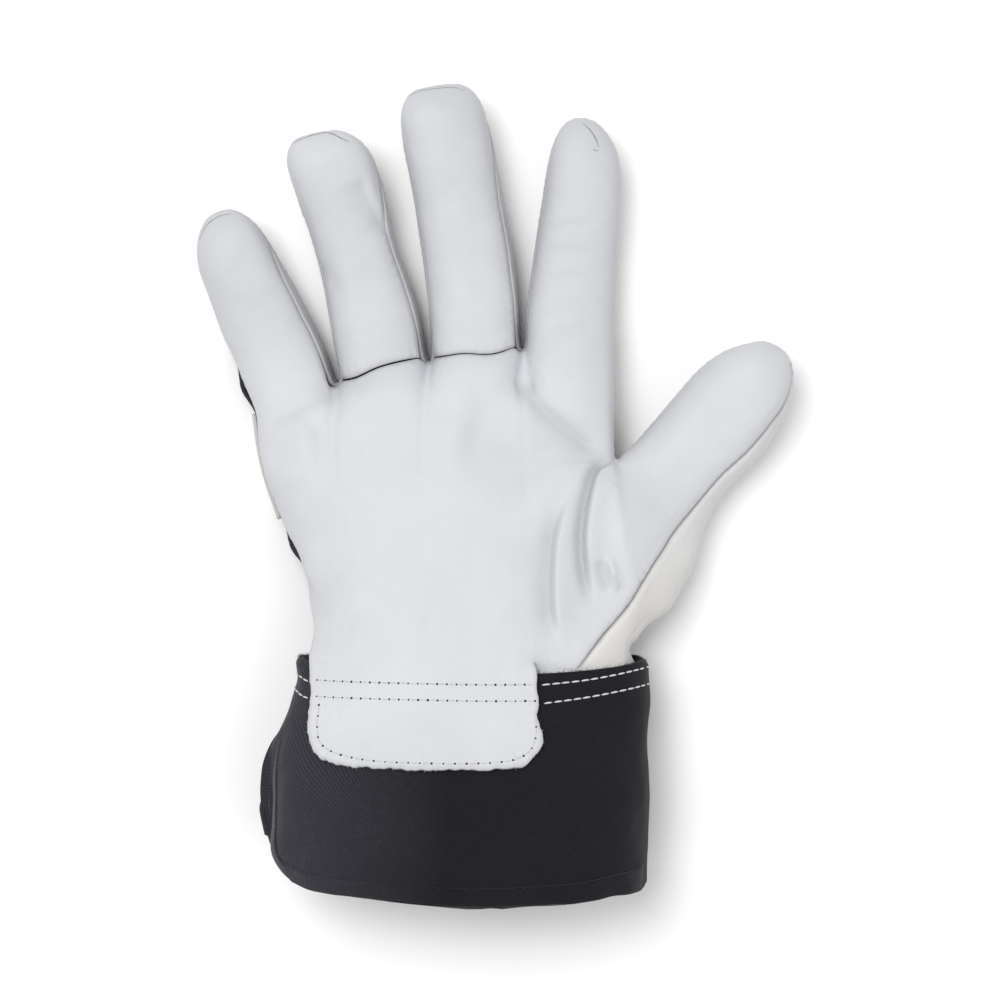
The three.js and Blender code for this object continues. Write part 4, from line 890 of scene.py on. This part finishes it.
TOP_TREE = tree_of(["palm", "cuff"])
RAY_FROM = 0.2


def dropped(marks, tree, count=200):
    """A line over the glove that passes over marks given in mm: points and normals."""
    line = curve_through(marks, count)
    out = []
    for x, y in line:
        hit, normal, _, _ = tree.ray_cast(Vector((x * MM, y * MM, RAY_FROM)), Vector((0, 0, -1)))
        if hit is not None:
            out.append((hit, normal))
    return out


def walk(line, step):
    """A line of (point, normal) as a function of the distance along it, and distances a step apart."""
    points = np.array([p for p, _ in line])
    normals = np.array([n for _, n in line])
    size = np.linalg.norm(np.diff(points, axis=0), axis=1)
    run = np.concatenate([[0], np.cumsum(size)])

    def at(s):
        s = np.atleast_1d(s)
        p = np.stack([np.interp(s, run, points[:, k]) for k in range(3)], axis=1)
        n = np.stack([np.interp(s, run, normals[:, k]) for k in range(3)], axis=1)
        return p, n / np.linalg.norm(n, axis=1, keepdims=True)

    return at, np.arange(0.0, run[-1] - step, step)


STITCH_SIDES = 6
STITCH_PARTS = 7
STITCH_JITTER = 0.08
STITCH_RISE = 0.55
STITCH_SUNK = 0.25
HOLE_CORNERS = 8
HOLE_CLEAR = 0.03


def stitches(name, line, pitch, size, thick, material, slot):
    """A row of stitches, each a short thread that comes out of the surface and goes back into it."""
    at, starts = walk(line, pitch * MM)
    sides = STITCH_SIDES
    parts = STITCH_PARTS
    points = []
    faces = []
    count = 0
    for s in starts:
        here = pitch * MM - size * MM
        jitter = RNG.uniform(-STITCH_JITTER, STITCH_JITTER) * MM
        p, n = at(np.linspace(s + here / 2 + jitter, s + here / 2 + size * MM + jitter, parts))
        along = np.gradient(p, axis=0)
        along /= np.linalg.norm(along, axis=1, keepdims=True)
        side = np.cross(along, n)
        bow = np.sin(np.linspace(0, math.pi, parts))
        fat = thick / 2 * MM * (0.55 + 0.45 * bow)
        centre = p + n * ((bow * STITCH_RISE - STITCH_SUNK) * thick * MM)[:, None]
        for k in range(sides):
            angle = 2 * math.pi * k / sides
            points.append(centre + (side * math.cos(angle) + n * math.sin(angle)) * fat[:, None])
        ring = np.arange(parts - 1)
        for k in range(sides):
            a = count + k * parts + ring
            b = count + ((k + 1) % sides) * parts + ring
            faces.append(np.stack([a, b, b + 1, a + 1], axis=1))
        count += sides * parts
    points = np.vstack(points)
    points[:, 2] = np.maximum(points[:, 2], 0)
    mesh = mesh_from(name, points, np.vstack(faces))
    own(link(name, mesh), slot=slot, material=material)


def hole_shades(name, line, pitch, radius, slot):
    """Needle holes between stitches, as small flat dark discs just over the surface: painted shade of the
    holes.
    """
    at, starts = walk(line, pitch * MM)
    p, n = at(starts)
    along = np.cross(n, [0.0, 0.0, 1.0]) + np.cross(n, [0.0, 1.0, 0.0])
    along /= np.linalg.norm(along, axis=1, keepdims=True)
    side = np.cross(n, along)
    points = []
    faces = []
    count = 0
    for k in range(len(p)):
        size = radius * MM * RNG.uniform(0.8, 1.2)
        for j in range(HOLE_CORNERS):
            angle = 2 * math.pi * j / HOLE_CORNERS
            points.append(p[k] + n[k] * HOLE_CLEAR * MM + (along[k] * math.cos(angle)
                                                     + side[k] * math.sin(angle)) * size)
        faces += [[count + a for a in quad] for quad in ((0, 1, 2, 3), (0, 3, 4, 7), (4, 5, 6, 7))]
        count += HOLE_CORNERS
    mesh = mesh_from(name, np.array(points), np.array(faces))
    own(link(name, mesh), slot=slot, material=HOLE_SHADE)


RIBBON_STEP = 0.4
RIBBON_END = 0.12
RIBBON_CLEAR = 0.05


def ribbon(name, line, width, slot, material):
    """A thin line drawn on a surface, narrowing towards its ends, as a seam seen from outside."""
    at, starts = walk(line, RIBBON_STEP * MM)
    p, n = at(starts)
    along = np.gradient(p, axis=0)
    side = np.cross(along, n)
    side /= np.linalg.norm(side, axis=1, keepdims=True)
    rng = np.random.default_rng(11)
    half = width / 2 * MM * np.sqrt(np.sin(np.linspace(RIBBON_END, math.pi - RIBBON_END, len(p))))
    half *= rng.uniform(0.7, 1.3, len(p))
    centre = p + n * RIBBON_CLEAR * MM
    points = np.vstack([centre - side * half[:, None], centre + side * half[:, None]])
    row = np.arange(len(p) - 1)
    faces = np.stack([row, row + len(p), row + len(p) + 1, row + 1], axis=1)
    own(link(name, mesh_from(name, points, faces)), slot=slot, material=material)


ALL_TREE = tree_of(list(PIECES))
TIP_SEAMS = {
    "index_tip_seam": dict(wide=0.35, height=25, marks=[(583, 122), (590, 129), (596, 139), (599, 149)]),
    "index_tip_notch": dict(wide=0.3, height=25, marks=[(593, 149), (596, 151), (600, 150)]),
    "ring_tip_seam": dict(wide=0.5, height=20, marks=[(293, 144), (308, 138), (325, 134), (334, 136),
                                                      (343, 141), (353, 145)]),
    "middle_tip_seam": dict(wide=0.3, height=20, marks=[(407, 98), (420, 92), (437, 90), (453, 89),
                                                        (466, 93)]),
    "little_tip_seam": dict(wide=0.3, height=20, marks=[(200, 240), (207, 226), (219, 217), (233, 214)]),
}
for seam, row in TIP_SEAMS.items():
    line = dropped([spot(*m, row["height"]) for m in row["marks"]], ALL_TREE)
    ribbon(seam, line, row["wide"], "finger_leather", SEAM_LINE)

# The cuff's double row on the palm side, in the frame's pixels: on the patch, and to its right and left.
CUFF_ROWS = {
    "upper": dict(patch=[(316, 681), (360, 682), (420, 683), (480, 684), (536, 684)],
                  right=[(541, 684), (590, 679), (648, 669)], left=[(297, 677), (304, 681), (311, 683)]),
    "lower": dict(patch=[(316, 697), (360, 698), (420, 699), (480, 700), (540, 700)],
                  right=[(543, 702), (590, 696), (648, 686)], left=[(294, 692), (302, 697), (310, 699)]),
}
PATCH_THREAD = dict(size=2.2, thick=0.4, material=PALE_THREAD, slot="palm_leather")
EDGE_THREAD = dict(size=2.6, thick=0.4, material=PALE_THREAD, slot="palm_leather")
CUFF_THREAD = dict(size=2.7, thick=0.62, material=WHITE_THREAD, slot="cuff_drill")
PATCH_PITCH = 3.1
EDGE_PITCH = 3.7
CUFF_PITCH = 3.2
HOLE_RADIUS = 0.38
PATCH_HEIGHT = 45
CUFF_HEIGHT = 40
EDGE_HEIGHT = 48
CUFF_TREE = tree_of(["cuff"])
CUFF_MIDDLE = (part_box("cuff")[0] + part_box("cuff")[1]) / 2
FACING_OUT = 0.3
TOP_EDGE_DEPTH = 12
PATCH_EDGE_DEPTH = 9


def cuff_angle(points):
    """The angle of points round the cuff, from its right side over its top."""
    points = np.atleast_2d(points)
    return np.arctan2(points[:, 2] - CUFF_MIDDLE.z, points[:, 0] - CUFF_MIDDLE.x)


def cuff_top_edge(p):
    return p[:, 1] > CUFF_TOP - TOP_EDGE_DEPTH


def round_the_back(first, last, count=400):
    """The line of a row from a point on the cuff's right side under the cuff to one on its left."""
    edge = np.vstack([outers["cuff"].points[loop] for loop in outers["cuff"].loops])
    edge = edge[cuff_top_edge(edge / MM)]
    order = np.argsort(cuff_angle(edge))
    turns, tops = cuff_angle(edge)[order], edge[order, 1]
    begin, end = cuff_angle(np.array([first, last]))
    angles = begin - np.linspace(0, (begin - end) % (2 * math.pi), count)
    top = np.interp(angles, turns, tops, period=2 * math.pi)
    places = top - np.linspace(top[0] - first[1], top[-1] - last[1], count)
    out = []
    for angle, y in zip(angles, places):
        way = Vector((math.cos(angle), 0, math.sin(angle)))
        start = Vector((CUFF_MIDDLE.x, y, CUFF_MIDDLE.z)) + RAY_FROM * way
        hit, normal, _, _ = CUFF_TREE.ray_cast(start, -way)
        if hit is not None and normal.dot(way) > FACING_OUT:
            out.append((hit, normal))
    return out


for row, marks in CUFF_ROWS.items():
    patch = dropped([spot(*m, PATCH_HEIGHT) for m in marks["patch"]], TOP_TREE)
    stitches("patch_stitches_" + row, patch, PATCH_PITCH, **PATCH_THREAD)
    hole_shades("patch_hole_shades_" + row, patch, PATCH_PITCH, HOLE_RADIUS, "palm_leather")
    lines = {}
    for side in ("left", "right"):
        lines[side] = dropped([spot(*m, CUFF_HEIGHT) for m in marks[side]], TOP_TREE)
    lines["back"] = round_the_back(lines["right"][-1][0], lines["left"][0][0])
    for side, line in lines.items():
        stitches(f"cuff_stitches_{row}_{side}", line, CUFF_PITCH, **CUFF_THREAD)
EDGE_MARKS = [(318, 706), (317, 732), (323, 745), (340, 753), (368, 758), (400, 760), (460, 761),
              (505, 759), (526, 752), (535, 738), (536, 712)]
edge_line = dropped([spot(*m, EDGE_HEIGHT) for m in EDGE_MARKS], TOP_TREE)
stitches("patch_edge_stitches", edge_line, EDGE_PITCH, **EDGE_THREAD)
hole_shades("patch_edge_hole_shades", edge_line, EDGE_PITCH, HOLE_RADIUS, "palm_leather")

# Raw edges
FIBRE_SPREAD = 0.55
FIBRE_BEND = 0.35
FIBRE_FLOOR = 1e-4


def fringe(name, sheet, chosen, count, length, thick, slot, material):
    """Short loose fibres that stand out of a sheet's open edge, at the points of it that are chosen."""
    places = []
    for loop in sheet.loops:
        p = sheet.points[loop]
        n = sheet.normals[loop]
        out = np.cross(np.roll(p, -1, axis=0) - np.roll(p, 1, axis=0), n)
        out /= np.maximum(np.linalg.norm(out, axis=1, keepdims=True), 1e-12)
        keep = chosen(p / MM)
        places += list(zip(p[keep], n[keep], out[keep]))
    rng = np.random.default_rng(31)
    points = []
    faces = []
    for k in range(count):
        p, n, out = places[rng.integers(len(places))]
        way = out + rng.normal(scale=FIBRE_SPREAD, size=3) + n * rng.uniform(-0.3, 0.5)
        way /= np.linalg.norm(way)
        side = np.cross(way, n) + rng.normal(scale=0.2, size=3)
        side *= thick / 2 * MM / np.linalg.norm(side)
        reach = length * MM * rng.uniform(0.35, 1.0)
        bend = rng.normal(scale=FIBRE_BEND, size=3)
        start = p - n * rng.uniform(0.1, 0.9) * MM - out * 0.3 * MM + rng.normal(scale=0.2, size=3) * MM
        start[2] = max(start[2], FIBRE_FLOOR)
        for step, wide in ((0, 1.0), (0.5, 0.8), (1, 0.3)):
            centre = start + way * reach * step + bend * reach * step ** 2
            centre[2] = max(centre[2], FIBRE_FLOOR)
            points += [centre - side * wide, centre + side * wide]
        a = 6 * k
        faces += [(a, a + 1, a + 3, a + 2), (a + 2, a + 3, a + 5, a + 4)]
    mesh = mesh_from(name, np.array(points), np.array(faces))
    own(link(name, mesh), slot=slot, material=material)


def patch_edge(p):
    return p[:, 1] < CUFF_TOP - PATCH_EDGE_DEPTH


def off_the_floor(p):
    return p[:, 2] > 0


fringe("cuff_top_fibres", outers["cuff"], cuff_top_edge, 1500, 1.3, 0.17, "cuff_drill", LINT)
fringe("patch_fibres", outers["palm"], patch_edge, 700, 0.7, 0.12, "palm_leather", LOOKS["palm_leather"])
fringe("binding_fibres", outers["cuff_binding"], off_the_floor, 1500, 0.8, 0.14, "binding_tape", LINT)

# Floor and light
FLOOR_HALF = 4
FLOOR_DARK = (0.93, 0.93, 0.93, 1)
FLOOR_LIGHT = (0.95, 0.95, 0.95, 1)
WORLD_LIGHT = 0.52
floor_mesh = bpy.data.meshes.new("floor")
floor_corners = [(x * FLOOR_HALF, y * FLOOR_HALF, 0) for x, y in ((-1, -1), (1, -1), (1, 1), (-1, 1))]
floor_mesh.from_pydata(floor_corners, [], [(0, 1, 2, 3)])
floor = link("floor", floor_mesh)
floor_look = Look("floor")
floor_grain = floor_look.noise(3, 2, 0.5)
floor_base = floor_look.blend(floor_look.remap(floor_grain, 0.3, 0.7), FLOOR_DARK, FLOOR_LIGHT)
floor_mesh.materials.append(floor_look.finish(Base_Color=floor_base, Roughness=0.9, Specular_IOR_Level=0.1))

world = bpy.data.worlds.new("studio")
scene.world = world
world.use_nodes = True
world.node_tree.nodes["Background"].inputs[0].default_value = (1, 1, 1, 1)
world.node_tree.nodes["Background"].inputs[1].default_value = WORLD_LIGHT


def area_light(name, place, target, size, watts):
    data = bpy.data.lights.new(name, "AREA")
    data.shape = "SQUARE"
    data.size = size
    data.energy = watts
    lamp = bpy.data.objects.new(name, data)
    scene.collection.objects.link(lamp)
    lamp.location = place
    lamp.rotation_euler = (Vector(target) - Vector(place)).to_track_quat("-Z", "Y").to_euler()


area_light("key", (-0.45, 0.4, 1.7), (0, 0, 0), 0.9, 22.5)
area_light("fill", (1.0, -0.5, 1.4), (0, 0, 0), 1.4, 5.5)
scene.view_settings.view_transform = "Standard"
